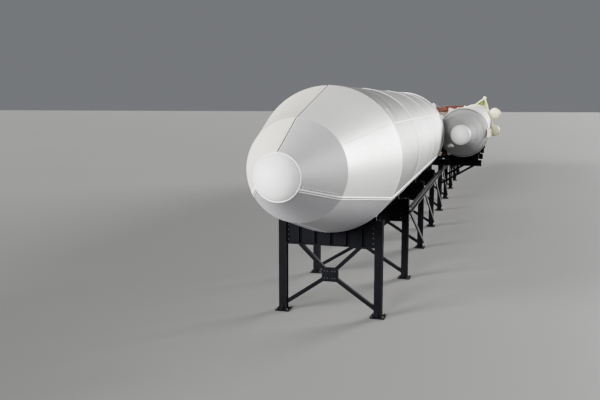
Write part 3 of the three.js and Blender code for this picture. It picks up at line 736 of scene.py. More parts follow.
BLACK_STEEL = SteelPaint(
    "black_stand_paint", (0.0025, 0.0026, 0.0038), roughness=0.6, specular=0.03, chip_share=0.12, dust=0.02,
)
# Near-black paint laid into splits, recesses and joints: painted shade
GAP_SHADE = SteelPaint("painted_gap_shade", (0.01, 0.01, 0.011), roughness=0.7, dust=0.1)
LINER = CharredLiner("wrapped_liner", (0.05, 0.046, 0.043), roughness=0.6)
SOOT = CharredLiner("sooty_throat", (0.02, 0.019, 0.019), roughness=0.75, ply=0.02)
BEARING = CharredLiner("bearing_shims", (0.075, 0.07, 0.066), roughness=0.5, ply=0.012)
PAD_RUBBER = CharredLiner("pad_rubber", (0.02, 0.02, 0.02), roughness=0.8, ply=0.05)


# Shape building blocks


def arc(start: float, end: float, steps: int, radius: float = 1.0) -> Points:
    """Points of an arc about (0, 0) from one angle to another, with both its ends."""
    turns = [radians(start + (end - start) * i / steps) for i in range(steps + 1)]
    return [(radius * cos(turn), radius * sin(turn)) for turn in turns]


def circle(count: int, radius: float = 1.0) -> Points:
    """Evenly spaced points of a circle about (0, 0)."""
    return arc(0.0, 360.0, count, radius)[:-1]


def rectangle(x: float, y: float) -> Points:
    """Corners of a rectangle about (0, 0) with these half sizes."""
    return [(-x, -y), (x, -y), (x, y), (-x, y)]


def shift(x: float, y: float, z: float) -> Matrix:
    """Move by real metres inside a local frame."""
    return Matrix.Translation(Vector((x, y, z)) * SCALE)


def spot(x: float, station: float, height: float) -> Vector:
    """Point of the frame from real metres across the rocket, along it and above the floor."""
    return Vector((x, station - LENGTH / 2, height)) * SCALE


def tipped(x: float, station: float, height: float, turn: float = 0.0) -> Matrix:
    """Seat at a point, tipped about the X axis by an angle from facing up."""
    return Matrix.Translation(spot(x, station, height)) @ Matrix.Rotation(radians(turn), 4, "X")


@dataclass(frozen=True)
class Axis:
    """Axis of a round body, parallel to the rocket's own."""

    x: float = 0.0
    z: float = AXIS_HEIGHT

    def point(self, station: float, angle: float = 0.0, radius: float = 0.0) -> Vector:
        """Point on or round the body, in metres of the frame."""
        turn = radians(angle)
        return spot(self.x + radius * cos(turn), station, self.z + radius * sin(turn))

    def seat(self, station: float, angle: float, radius: float, slope: float = 0.0) -> Matrix:
        """Local frame on the skin, for pieces that stand on it.

        Args:
            station: Station of the frame.
            angle: Angle round the body.
            radius: Radius of the skin there.
            slope: Angle by which the skin widens towards the tail.

        Returns:
            Matrix with X round the body, Y along the skin and Z out of it.
        """
        turn, tilt = radians(angle), radians(slope)
        out = Vector((cos(turn), 0.0, sin(turn)))
        y = BACK * cos(tilt) + out * sin(tilt)
        z = out * cos(tilt) - BACK * sin(tilt)
        place = Matrix.Translation(self.point(station, angle, radius))
        return place @ Matrix((y.cross(z), y, z)).transposed().to_4x4()

    def seats(
        self, station: float, radius: float, count: int, slope: float = 0.0, first: float = 0.0,
    ) -> list[Matrix]:
        """Even row of seats right round the skin, the first one at an angle."""
        return [self.seat(station, first + 360.0 * i / count, radius, slope=slope) for i in range(count)]


CORE = Axis()


def bend(a: Vector, b: Vector, c: Vector, d: Vector, t: float) -> Vector:
    """Point at a share t of the way from b to c on the smooth curve through four points."""
    terms = (2 * b, (c - a) * t, (2 * a - 5 * b + 4 * c - d) * t ** 2, (3 * b - a - 3 * c + d) * t ** 3)
    return sum(terms, Vector()) / 2


def spread(seat: Matrix, places: Iterable[tuple[float, float]], lift: float) -> list[Matrix]:
    """Seats at local (x, y) places, lifted above a seat."""
    return [seat @ shift(x, y, lift) for x, y in places]


def put(name: str, data: bpy.types.ID) -> bpy.types.Object:
    """Put a mesh, light or camera into the scene.

    Args:
        name: Name of its object.
        data: What the object holds.

    Returns:
        The object.
    """
    made = bpy.data.objects.new(name, data)
    bpy.context.scene.collection.objects.link(made)
    return made


class Shape:
    """Faces that are gathered for one piece, each with its finish."""

    def __init__(self, finish: Finish) -> None:
        """Start with no faces.

        Args:
            finish: Finish of the first ones.
        """
        self.points: list[Vector] = []
        self.faces: list[tuple[int, ...]] = []
        self.finishes: list[Finish] = []
        self.finish = finish

    def on(self, finish: Finish) -> Shape:
        """Set the finish of the faces that follow."""
        self.finish = finish
        return self

    def add(self, points: Iterable[Vector], faces: Sequence[Sequence[int]]) -> None:
        """Add points and the faces between them, in the current finish.

        Args:
            points: New points.
            faces: Faces by index into the new points.
        """
        base = len(self.points)
        self.points += points
        self.faces += [tuple(base + corner for corner in face) for face in faces]
        self.finishes += [self.finish] * len(faces)

    def loft(self, rows: Sequence[Sequence[Vector]], wrap: bool = True, ends: bool = True) -> None:
        """Join rows of points by quads.

        Args:
            rows: Rows of equal length.
            wrap: Whether each row closes on itself.
            ends: Whether the first and the last row are closed by a face.
        """
        count, last = len(rows[0]), (len(rows) - 1) * len(rows[0])
        faces = [
            (i + j, i + (j + 1) % count, i + count + (j + 1) % count, i + count + j)
            for i in range(0, last, count) for j in range(count if wrap else count - 1)
        ]
        caps = [range(count), range(last, last + count)] if ends else []
        self.add((point for row in rows for point in row), [*faces, *caps])

    def slab(
        self, outline: Profile, stations: Sequence[float], x: float = 0.0, z: float = AXIS_HEIGHT,
        across: int = 1, up: int = 1,
    ) -> None:
        """Draw an (x, height) outline about (x, z) along the rocket, mirrored where across or up is -1."""
        self.loft([[spot(x + across * u, s, z + up * v) for u, v in outline] for s in stations])

    def tunnel(
        self, outline: Profile, axis: Axis, angle: float, radius: float, stations: Sequence[float],
    ) -> None:
        """Draw a (sideways, height) outline that stands on a straight skin along it."""
        seats = [axis.seat(station, angle, radius) for station in stations]
        self.loft([[seat @ (Vector((u, 0.0, v)) * SCALE) for u, v in outline] for seat in seats])

    def stack(self, levels: Sequence[tuple[float, Profile]], seat: Matrix) -> None:
        """Join (x, y) outlines at several heights above a seat."""
        self.loft([[seat @ (Vector((x, y, z)) * SCALE) for x, y in outline] for z, outline in levels])

    def revolve(
        self, profile: Profile, axis: Axis = CORE, segments: int = 96,
        start: float = 0.0, end: float = 360.0, finishes: Sequence[Finish] = (),
    ) -> None:
        """Turn a profile of (station, radius) points round an axis, whole or in part.

        Args:
            profile: Points that start and end on the axis, or close on themselves.
            axis: Axis to turn round.
            segments: Number of steps.
            start: First angle.
            end: Last angle.
            finishes: Finish of each stretch of the profile, or none for the current one.
        """
        whole = abs(end - start - 360.0) < TOUCHING
        count = segments if whole else segments + 1
        angles = [start + (end - start) * i / segments for i in range(count)]
        centres = [[axis.point(station)] for station, _ in profile]
        rows = [
            [axis.point(station, angle, radius) for angle in angles] if radius > TOUCHING else None
            for station, radius in profile
        ]
        kept = self.finish
        for i, (low, high) in enumerate(zip(rows, rows[1:])):
            self.finish = finishes[i] if finishes else kept
            if low and high:
                self.loft([low, high], wrap=whole, ends=False)
            elif low or high:
                fan = [(0, 1 + j, 1 + (j + 1) % count) for j in range(segments)]
                self.add([*centres[i if high else i + 1], *(low or high)], fan)
        self.finish = kept
        for edge in () if whole else (0, -1):
            points = [row[edge] if row else centre[0] for row, centre in zip(rows, centres)]
            if (points[0] - points[-1]).length < TOUCHING:
                points.pop()
            self.add(points, [range(len(points))])

    def block(self, size: Size, seat: Matrix, chamfer: float = 0.0, lift: float = 0.0) -> None:
        """Add a block with its foot on a seat and its top edges chamfered.

        Args:
            size: Local x, y and z sizes in real metres.
            seat: Local frame at the middle of its foot.
            chamfer: Width of the chamfer.
            lift: Height of its foot above the seat.
        """
        x, y, z = size[0] / 2, size[1] / 2, size[2]
        cut = min(chamfer, x * 0.9, y * 0.9, z * 0.9)
        levels = [(lift, rectangle(x, y)), (lift + z - cut, rectangle(x, y))]
        if cut:
            levels.append((lift + z, rectangle(x - cut, y - cut)))
        self.stack(levels, seat)

    def plate(self, width: float, length: float, height: float, seat: Matrix, corner: float = 0.03) -> None:
        """Add a plate with round corners on a seat, softened at its upper edge.

        Args:
            width: Local x size.
            length: Local y size.
            height: Height of its top.
            seat: Local frame at its middle.
            corner: Radius of its corners.
        """
        outline = [
            (sx * (width / 2 - corner) + u, sy * (length / 2 - corner) + v)
            for sx, sy, first in ((1, 1, 0), (-1, 1, 90), (-1, -1, 180), (1, -1, 270))
            for u, v in arc(first, first + 90, 3, corner)
        ]
        self.stack([
            (level, [(x * (1 - 2 * inset / width), y * (1 - 2 * inset / length)) for x, y in outline])
            for level, inset in ((-0.004, 0.0), (height * 0.6, 0.0), (height, height * 0.4))
        ], seat)

    def stud(self, radius: float, height: float, seat: Matrix, sides: int = 6) -> None:
        """Add a bolt head with a chamfered top on a seat."""
        levels = ((-0.003, 1.0), (height * 0.75, 1.0), (height, 0.7))
        self.stack([(level, circle(sides, radius * share)) for level, share in levels], seat)

    def studs(self, radius: float, height: float, seats: Iterable[Matrix], sides: int = 6) -> None:
        """Add a bolt head on each of many seats."""
        for seat in seats:
            self.stud(radius, height, seat, sides=sides)

    def rod(self, start: Vector, end: Vector, profile: Profile, sides: int = 16) -> None:
        """Turn a profile round the line between two points.

        Args:
            start: First point, in metres of the frame.
            end: Second point, which only gives the direction.
            profile: (distance from the start, radius) points in real metres.
            sides: Number of sides.
        """
        line = (end - start).normalized()
        side = line.orthogonal().normalized()
        other = line.cross(side)
        self.loft([
            [start + (line * distance + side * u + other * v) * SCALE for u, v in circle(sides, radius)]
            for distance, radius in profile
        ])

    def bar(self, start: Vector, end: Vector, radius: float, sides: int = 12) -> None:
        """Add a plain round bar between two points of the frame."""
        self.rod(start, end, [(0.0, radius), ((end - start).length / SCALE, radius)], sides=sides)

    def pipe(self, path: Sequence[Vector], radius: float, sides: int = 12, fine: int = 6) -> None:
        """Sweep a round pipe through points, with smooth bends.

        Args:
            path: Points in metres of the frame.
            radius: Radius in real metres.
            sides: Number of sides.
            fine: Steps between two points.
        """
        stops = [path[0] * 2 - path[1], *path, path[-1] * 2 - path[-2]]
        line = [
            bend(*four, i / fine) for four in zip(stops, stops[1:], stops[2:], stops[3:]) for i in range(fine)
        ] + [path[-1]]
        normal = (line[1] - line[0]).orthogonal().normalized()
        rings = []
        for i, middle in enumerate(line):
            ahead = (line[min(i + 1, len(line) - 1)] - line[max(i - 1, 0)]).normalized()
            normal = (normal - ahead * normal.dot(ahead)).normalized()
            other = ahead.cross(normal)
            rings.append([middle + (normal * u + other * v) * SCALE for u, v in circle(sides, radius)])
        self.loft(rings)

    def strip(
        self, profile: Profile, axis: Axis, angle: float, low: float, high: float, rise: float,
        sink: float = 0.01,
    ) -> None:
        """Lay a flat strip of even width along a round skin.

        Args:
            profile: (station, skin radius) points that the strip follows.
            axis: Axis of the body.
            angle: Angle of the plane that the strip's sides are measured from.
            low: Signed distance of its first side from that plane.
            high: Signed distance of its other side.
            rise: Height above the skin.
            sink: Depth below the skin.
        """
        middle, cut = (low + high) / 2, min(rise * 0.5, (high - low) * 0.2)
        section = [
            (low, -sink), (low, rise - cut), (low + cut, rise), (middle, rise),
            (high - cut, rise), (high, rise - cut), (high, -sink), (middle, -sink),
        ]
        self.loft([
            [axis.point(station, angle + degrees(asin(u / (r + v))), r + v) for u, v in section]
            for station, r in profile
        ])

    def piece(self, name: str, slot: Slot, replaces: str = "", body: str = ROCKET_BODY) -> None:
        """Make the object, put it on its body and give it its finishes.

        Args:
            name: Name of the piece.
            slot: Record slot that it belongs to; not used.
            replaces: CAD node that it stands for.
            body: CAD body that it rides on.
        """
        order = {finish: i for i, finish in enumerate(dict.fromkeys(self.finishes))}
        mesh = bpy.data.meshes.new(name)
        mesh.from_pydata([tuple(point) for point in self.points], [], self.faces)
        mesh.polygons.foreach_set("material_index", [order[finish] for finish in self.finishes])
        work = bmesh.new()
        work.from_mesh(mesh)
        bmesh.ops.remove_doubles(work, verts=work.verts, dist=TOUCHING)
        bmesh.ops.recalc_face_normals(work, faces=work.faces)
        for face in work.faces:
            face.smooth = True
        work.to_mesh(mesh)
        work.free()
        mesh.set_sharp_from_angle(angle=radians(CREASE))
        for finish in order:
            mesh.materials.append(finish.material())
        made = put(name, mesh)
        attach(made, body)
        if replaces:
            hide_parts(replaces)
        LOG.info("%s: %d faces on %s", name, len(mesh.polygons), body)


def dress(node: str, finish: Finish) -> None:
    """Give a CAD node that stays in view a finish.

    Args:
        node: Name of the node.
        finish: Its finish.
    """
    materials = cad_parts[node].data.materials
    materials.clear()
    materials.append(finish.material())
    LOG.info("%s: kept from the frame, in %s", node, finish.name)


def rounded(profile: Profile, corners: dict[int, float], steps: int = 4) -> Points:
    """Round some corners of a profile.

    Args:
        profile: (station, radius) points.
        corners: Distance that each rounded corner starts before its point, by index.
        steps: Steps round each corner.

    Returns:
        The profile with the rounded corners.
    """
    made = []
    for i, point in enumerate(profile):
        if i not in corners:
            made.append(point)
            continue
        here = Vector(point)
        legs = [Vector(profile[j % len(profile)]) - here for j in (i - 1, i + 1)]
        a, b = (here + leg.normalized() * min(corners[i], leg.length * 0.49) for leg in legs)
        for t in (step / steps for step in range(steps + 1)):
            made.append(tuple(a * (1 - t) ** 2 + here * 2 * t * (1 - t) + b * t * t))
    return made


def band(station: float, radius: float, width: float, rise: float) -> Points:
    """Profile points of a raised band with softened edges, from front to back."""
    shares = ((-1.0, 0.0), (-0.95, 0.6), (-0.7, 1.0), (0.7, 1.0), (0.95, 0.6), (1.0, 0.0))
    return [(station + width / 2 * place, radius + rise * share) for place, share in shares]


def hoop(station: float, radius: float, width: float, rise: float, depth: float) -> Points:
    """Closed profile of a separate ring round a skin, sunk by a depth below its foot."""
    return [
        *band(station, radius, width=width, rise=rise), (station, radius - depth),
        (station - width / 2, radius),
    ]


def along(first: float, last: float, pitch: float) -> list[float]:
    """Stations from the first one up to the last at an even pitch."""
    return [first + pitch * i for i in range(int((last - first) / pitch) + 1)]


def cable_cover(*half: tuple[float, float]) -> Points:
    """Outline of a cable tunnel from the points of its right half."""
    return [*((-u, v) for u, v in half), *reversed(half)]


# Payload fairing


@dataclass(frozen=True)
class Split:
    """Split of the fairing: widths of the rails before and after it, their rise, and its seal's width."""

    before: float
    after: float
    rise: float
    seal: float


@dataclass
class Fairing:
    """Payload fairing: nose cap, three sectors and the boattail."""

    # (station, radius) of the cap's edge, the break between the cones, the shoulder and the rear edge
    line: Profile = ((0.45, 0.66), (2.27, 1.52), (6.2, 2.54), (26.2, 2.54))
    radius: float = 2.54
    wall: float = 0.1
    end: float = 26.2
    gap: float = 0.02
    steps: int = 144
    splits: dict[float, Split] = field(default_factory=lambda: {
        90.0: Split(0.022, 0.0, 0.004, 0.042), 210.0: Split(0.05, 0.026, 0.022, 0.024),
        330.0: Split(0.026, 0.05, 0.022, 0.024),
    })
    # name, angles of its splits, paint of its front and rear cones; the grey of the right sector's front cone
    # and of the whole bottom sector is painted shade
    sectors: tuple[tuple[str, float, float, Finish, Finish], ...] = (
        ("right", -30.0, 90.0, SHROUD_FRONT_SHADE, SHROUD_WHITE), ("left", 90.0, 210.0, SHROUD_CREAM, SHROUD_CREAM),
        ("bottom", 210.0, 330.0, SHROUD_SHADE, SHROUD_SHADE),
    )
    # station, angle, width round the body, length
    doors: tuple[tuple[float, ...], ...] = (
        (9.2, 165.0, 0.6, 0.45), (15.0, 196.0, 0.45, 0.6), (21.2, 112.0, 0.5, 0.5), (20.6, -100.0, 0.7, 0.5),
        (8.4, -62.0, 0.4, 0.4),
    )

    def build(self) -> None:
        """Build all pieces of the fairing."""
        self.nose_cap()
        for sector in self.sectors:
            self.sector(*sector)
        self.boattail()
        self.fittings()

    def skin(self, station: float) -> tuple[float, float]:
        """Find the skin at a station.

        Args:
            station: Station from the cap's edge on.

        Returns:
            Its radius and its slope in degrees.
        """
        for (s0, r0), (s1, r1) in zip(self.line, self.line[1:]):
            if station <= s1:
                break
        return r0 + (r1 - r0) * (station - s0) / (s1 - s0), degrees(atan2(r1 - r0, s1 - s0))

    def nose_cap(self) -> None:
        """Domed cap with a bright ring round its edge."""
        station, radius = self.line[0]
        sphere = (station ** 2 + radius ** 2) / (2 * station)
        reach = degrees(acos((sphere - station + 0.03) / sphere))
        dome = [(sphere - u, v) for u, v in arc(0.0, reach, 20, sphere)]
        ring = [(0.434 + u, 0.656 + v) for u, v in arc(200.0, -20.0, 6, 0.015)]
        profile = [*dome, (0.428, 0.636), *ring, (0.4485, 0.6), (0.3, 0.46), (0.16, 0.2), (0.15, 0.0)]
        shape = Shape(CAP_WHITE)
        finishes = [CAP_WHITE] * len(dome) + [BAND_WHITE] * 8 + [CAP_WHITE] * 4
        shape.revolve(profile, segments=120, finishes=finishes)
        shape.on(FASTENER).studs(
            0.011, 0.006, CORE.seats(0.375, 0.617, count=24, slope=58.0, first=7.5), sides=8,
        )
        for angle in self.splits:
            shape.on(BAND_WHITE).block(
                (0.07, 0.05, 0.02), CORE.seat(0.42, angle, 0.655, slope=30.0), chamfer=0.006,
            )
        shape.piece("nose_cap", Slot.WHITE, "fairing_nose_cap")

    def sector(self, name: str, start: float, end: float, front: Finish, rear: Finish) -> None:
        """One third of the shell with its edge rails, bands and cover strips.

        Args:
            name: Name of the sector.
            start: Angle of the split on its one side.
            end: Angle of the split on its other side.
            front: Finish of its first cone.
            rear: Finish of its second cone.
        """
        (s0, r0), (s1, r1), (s2, r2), (s3, _) = self.line
        slope = (r2 - r1) / (s2 - s1)
        profile = rounded([
            (s0, r0), (s1, r1), (s1 + 0.02, r1 + 0.01), (s1 + 0.07, r1 + 0.01 + 0.05 * slope),
            (s1 + 0.09, r1 + 0.09 * slope), (s2, r2), (8.0, r2),
        ], {1: 0.02, 5: 0.16})
        # the first barrel panel, from the shoulder to the first band, takes the darker silver copy: painted
        # shade
        finishes = [front] * 5 + [rear] * (len(profile) - 7) + [SILVER_PAINTED_SHADE]
        for station, panel in ((12.05, SILVER_PAINTED_SHADE), (18.55, SHROUD_SILVER), (23.3, SHROUD_SILVER)):
            profile += band(station, r2, width=0.16, rise=0.014)
            finishes += [panel] + [BAND_WHITE] * 5
        profile += [(26.08, r2), (26.084, r2 + 0.018), (26.1, r2 + 0.03), (s3, r2 + 0.03)]
        profile += [(station, radius - self.wall) for station, radius in reversed(self.line)] + [(s0, r0)]
        finishes += [SHROUD_SILVER] + [BAND_WHITE] * 3 + [PRIMER_GREEN] * 5
        edge = degrees(self.gap / 2 / self.radius)
        shape = Shape(rear)
        shape.revolve(
            profile, start=start + edge, end=end - edge, segments=self.steps // 2, finishes=finishes,
        )
        self.edge_rails(shape, start, end)
        self.cover_strips(shape, (start + end) / 2)
        if name != "bottom":
            split, side = (start, 1) if name == "right" else (end, -1)
            for station in along(0.58, 2.17, 0.1):
                radius, tilt = self.skin(station)
                seat = CORE.seat(station, split + side * degrees(0.1 / radius), radius, slope=tilt)
                shape.on(front).block((0.045, 0.04, 0.03), seat, chamfer=0.006, lift=-0.004)
        shape.piece(f"fairing_{name}", Slot.WHITE, f"fairing_sector_{name}")

    def edge_rails(self, shape: Shape, start: float, end: float) -> None:
        """Raised rails beside both splits, and the near-black seal strip in the split at the start, painted
        as the gap's shade.

        Args:
            shape: Shape of the sector.
            start: Angle of the split on its one side.
            end: Angle of the split on its other side.
        """
        first, last = self.splits[start % 360.0], self.splits[end % 360.0]
        edges = ((start, 1, first.after, first), (end, -1, last.before, last))
        for (s0, r0), (s1, r1) in zip(self.line, self.line[1:]):
            steps = max(2, round((s1 - s0) / 2.4))
            shares = [0.01, *(i / steps for i in range(1, steps + 1))]
            run = [(s0 + (s1 - s0) * share, r0 + (r1 - r0) * share) for share in shares]
            for angle, side, width, split in edges:
                if width:
                    low, high = sorted((side * split.seal / 2, side * (split.seal / 2 + width)))
                    shape.on(BAND_WHITE).strip(run, CORE, angle, low, high, rise=split.rise)
            # near-black strip sunk into the split: painted shade of the gap
            shape.on(GAP_SHADE).strip(run, CORE, start, -first.seal / 2, first.seal / 2, rise=0.003, sink=0.03)
        for angle, side, width, split in edges:
            for station in along(2.6, self.end - 0.3, 0.36) if width > 0.04 else ():
                radius, slope = self.skin(station)
                turn = side * degrees((split.seal + width) / 2 / radius)
                seat = CORE.seat(station, angle + turn, radius + split.rise, slope=slope)
                shape.on(FASTENER).stud(0.013, 0.007, seat)

    def cover_strips(self, shape: Shape, middle: float) -> None:
        """Thin cover strip down the middle of a sector's panels.

        Args:
            shape: Shape of the sector.
            middle: Angle of its middle.
        """
        cone = [(station, self.skin(station)[0]) for station in (2.5, 3.7, 4.9, 6.05)]
        shape.on(BAND_WHITE).strip(cone, CORE, middle, -0.018, 0.018, rise=0.004)
        for panel in ((6.35, 11.9), (12.2, 18.4), (18.7, 23.15), (23.45, 26.0)):
            shape.strip([(station, self.radius) for station in panel], CORE, middle, -0.028, 0.028, rise=0.01)

    def boattail(self) -> None:
        """Rear cone that closes the fairing down to the core."""
        front, r, collar = self.end + 0.001, self.radius, 1.545
        shape = Shape(SHROUD_WHITE)
        shape.revolve([
            (front, r), (26.24, r), (26.25, r - 0.02), (26.36, r - 0.02),
            *band(27.0, 2.1, width=0.1, rise=0.012),
            (27.62, 1.625), (27.7, collar), (27.72, collar + 0.015), (27.9, collar + 0.015), (27.92, collar),
            (27.99, collar), (27.99, collar - 0.05), (27.6, collar - 0.05), (front, r - self.wall),
            (front, r),
        ], segments=self.steps)
        line = [(s, 2.52 - (s - 26.36) * (2.52 - 1.625) / (27.62 - 26.36)) for s in (26.4, 27.0, 27.58)]
        for i in range(12):
            shape.on(BAND_WHITE).strip(line, CORE, 15.0 + 30.0 * i, -0.03, 0.03, rise=0.012)
        shape.on(FASTENER).studs(0.013, 0.009, CORE.seats(26.3, r - 0.02, count=96))
        shape.studs(0.012, 0.008, CORE.seats(27.81, collar + 0.015, count=60))
        slope = degrees(atan2(1.6 - 2.52, 27.65 - 26.35))
        shape.studs(0.009, 0.006, CORE.seats(27.5, 1.71, count=60, slope=slope, first=3.0))
        shape.piece("boattail", Slot.WHITE, "fairing_boattail")

    def fittings(self) -> None:
        """Hinge fittings on the rear ring, a vent slot behind the shoulder and access doors."""
        shape = Shape(BAND_WHITE)
        for angle in (43.0, 24.0, -26.0, 137.0, 156.0, 206.0):
            seat = CORE.seat(26.07, angle, self.radius + 0.01)
            shape.on(BAND_WHITE).block((0.27, 0.24, 0.035), seat, chamfer=0.01)
            for side in (-1, 1):
                shape.block((0.05, 0.2, 0.15), seat @ shift(side * 0.075, 0.0, 0.0), chamfer=0.03, lift=0.01)
            shape.bar(*(seat @ (Vector((x, 0.0, 0.11)) * SCALE) for x in (-0.125, 0.125)), 0.036)
            shape.on(FASTENER).studs(0.012, 0.012, spread(seat, rectangle(0.115, 0.1), 0.03))
        shape.on(BAND_WHITE).plate(0.42, 0.1, 0.014, CORE.seat(7.1, 39.0, self.radius))
        for door in self.doors:
            self.door(shape, *door)
        shape.piece("fairing_fittings", Slot.WHITE)

    def door(self, shape: Shape, station: float, angle: float, width: float, length: float) -> None:
        """Thin curved access door with screws round its edge.

        Args:
            shape: Shape that it joins.
            station: Station of its middle.
            angle: Angle of its middle.
            width: Width round the body.
            length: Length along the body.
        """
        r, u, v = self.radius, length / 2, degrees(width / 2 / self.radius)
        shares = (-1.0, -0.5, 0.0, 0.5, 1.0)
        edge = [(-1, share) for share in shares] + [(1, -share) for share in shares]
        shape.on(SHROUD_SILVER).loft([
            [CORE.point(station + end * u, angle + share * v, r + rise) for end, share in edge]
            for rise in (-0.01, 0.008)
        ])
        for share, side in product((-0.83, -0.5, -0.17, 0.17, 0.5, 0.83), (-1, 1)):
            for s, a in ((side * (u - 0.03), share * 0.92), (share * (u - 0.05), side * 0.92)):
                shape.on(FASTENER).stud(
                    0.01, 0.005, CORE.seat(station + s, angle + a * v, r + 0.008), sides=8,
                )


# Core stages


@dataclass
class CoreStages:
    """Upper stage, interstage and first stage."""

    radius: float = 1.525
    steps: int = 144
    stringers: int = 72
    raceway_angle: float = 100.0
    # name, front and rear station
    skirts: tuple[tuple[str, float, float], ...] = (
        ("upper_stage_forward_skirt", 28.0, 29.4), ("interstage", 34.8, 38.0),
        ("first_stage_intertank", 47.6, 49.8), ("first_stage_aft_skirt", 56.6, 59.4),
    )
    tanks: tuple[tuple[str, float, float], ...] = (
        ("upper_stage_tanks", 29.4, 34.8), ("first_stage_oxidizer_tank", 38.0, 47.6),
        ("first_stage_fuel_tank", 49.8, 56.6),
    )
    # station, angle, width, length
    plates: tuple[tuple[float, ...], ...] = (
        (28.7, 40.0, 0.4, 0.4), (36.0, 150.0, 0.5, 0.5), (48.7, 152.0, 0.5, 0.6), (57.9, 148.0, 0.6, 0.5),
        (57.9, 35.0, 0.45, 0.45), (36.1, 60.0, 0.4, 0.5),
    )

    def build(self) -> None:
        """Build the stages, and what runs along them."""
        for skirt in self.skirts:
            self.skirt(*skirt)
        for tank in self.tanks:
            self.tank(*tank)
        self.raceway()
        self.lines()

    def barrel(self, start: float, end: float, edge: float, land: float, low: float, rings: Points) -> Points:
        """Profile of a barrel between two bolting lands.

        Args:
            start: Front station.
            end: Rear station.
            edge: Width of the lands' rounded edges.
            land: Width of the lands.
            low: Radius between them.
            rings: Points of what stands between them.

        Returns:
            The profile.
        """
        r = self.radius
        half = [(0.001, 0.0), (0.001, r - 0.004), (edge, r), (land, r), (land + 0.01, low)]
        return [*((start + s, v) for s, v in half), *rings, *((end - s, v) for s, v in reversed(half))]

    def skirt(self, name: str, start: float, end: float) -> None:
        """Skirt with hat stringers between two bolted rings.

        Args:
            name: Name of the CAD node.
            start: Front station.
            end: Rear station.
        """
        r, low = self.radius, self.radius - 0.042
        count = 3 if end - start > 2.0 else 2
        rings = [
            (start + (end - start) * i / count + s, low + rise)
            for i in range(1, count) for s, rise in ((-0.03, 0.0), (-0.03, 0.02), (0.03, 0.02), (0.03, 0.0))
        ]
        profile = self.barrel(start, end, 0.012, 0.1, low, rings)
        if name == "first_stage_aft_skirt":
            profile[-1:] = [(end - 0.001, r - 0.055), (59.1, r - 0.055), (59.1, 0.0)]
        shape = Shape(BRONZE)
        shape.revolve(profile, segments=self.steps)
        run = [(start + 0.1, low), (end - 0.1, low)]
        for i in range(self.stringers):
            angle = 360.0 * (i + 0.5) / self.stringers
            shape.on(BRONZE_RIBS).strip(run, CORE, angle, -0.022, 0.022, rise=0.034, sink=0.004)
        for station in (start + 0.05, end - 0.05):
            shape.on(FASTENER).studs(0.012, 0.008, CORE.seats(station, r, count=90))
        if name == "interstage":
            for seat in CORE.seats(end - 0.75, low, count=18, first=10.0):
                shape.on(BRONZE_RIBS).plate(0.3, 0.62, 0.037, seat, corner=0.1)
                # near-black inset on each panel plate: painted shade of a recess
                shape.on(GAP_SHADE).plate(0.22, 0.54, 0.041, seat, corner=0.08)
        if name == "first_stage_aft_skirt":
            self.heat_shield(shape)
        shape.piece(f"{name}_skin", Slot.BRONZE, name)

    def heat_shield(self, shape: Shape) -> None:
        """Quilted blanket panels over the end of the aft skirt.

        Args:
            shape: Shape of the skirt.
        """
        shares = (0.02, 0.25, 0.5, 0.75, 0.98)
        for start in range(1, 361, 30):
            for inner, outer in ((0.1, 0.78), (0.8, 1.44)):
                rings = []
                for station, shrink in ((59.095, 0.0), (59.125, 0.0), (59.14, 0.02)):
                    edge = [(u, inner + shrink) for u in shares]
                    edge += [(u, outer - shrink) for u in reversed(shares)]
                    rings.append([CORE.point(station, start + 28.0 * u, radius) for u, radius in edge])
                shape.on(HEAT_BLANKET).loft(rings)
        shape.on(FASTENER).studs(0.014, 0.012, CORE.seats(59.12, 1.3, count=24, slope=-90.0))

    def tank(self, name: str, start: float, end: float) -> None:
        """Smooth barrel with weld lands and end rings.

        Args:
            name: Name of the CAD node.
            start: Front station.
            end: Rear station.
        """
        low, count = self.radius - 0.01, max(2, round((end - start) / 1.9))
        pitch = (end - start) / count
        lands = [band(start + pitch * i, low, width=0.11, rise=0.007) for i in range(1, count)]
        shape = Shape(BRONZE)
        shape.revolve(self.barrel(start, end, 0.015, 0.14, low, sum(lands, [])), segments=self.steps)
        run = [(start + 0.16, low), (end - 0.16, low)]
        for angle in (10.0, 70.0, 190.0, 250.0, 310.0):
            shape.on(BRONZE_RIBS).strip(run, CORE, angle, -0.03, 0.03, rise=0.005)
        for station in (start + 0.07, end - 0.07):
            shape.on(FASTENER).studs(0.01, 0.006, CORE.seats(station, self.radius, count=72))
        shape.piece(f"{name}_skin", Slot.BRONZE, name)

    def raceway(self) -> None:
        """Cable tunnel in lengths, with straps over it."""
        r, angle = self.radius, self.raceway_angle
        cover = cable_cover((0.17, 0.004), (0.16, 0.05), (0.09, 0.112))
        strap = [(u * 1.04, v * 1.07 + 0.002) for u, v in cover]
        shape = Shape(RACEWAY_METAL)
        for i in range(20):
            a, b = 28.25 + 1.535 * i + 0.012, 28.25 + 1.535 * (i + 1) - 0.012
            shape.on(RACEWAY_METAL).tunnel(cover, CORE, angle, r, (a, b))
            for station in (a + 0.12, (a + b) / 2, b - 0.12):
                seat = CORE.seat(station, angle, r)
                for foot in (seat @ shift(x, 0.0, 0.0) for x in (-0.195, 0.195)):
                    shape.on(DULL_FASTENER).block((0.07, 0.09, 0.014), foot, chamfer=0.004, lift=0.002)
                    shape.stud(0.014, 0.024, foot)
                shape.tunnel(strap, CORE, angle, r, (station - 0.02, station + 0.02))
        shape.piece("cable_tunnel", Slot.BRONZE, "core_raceway")

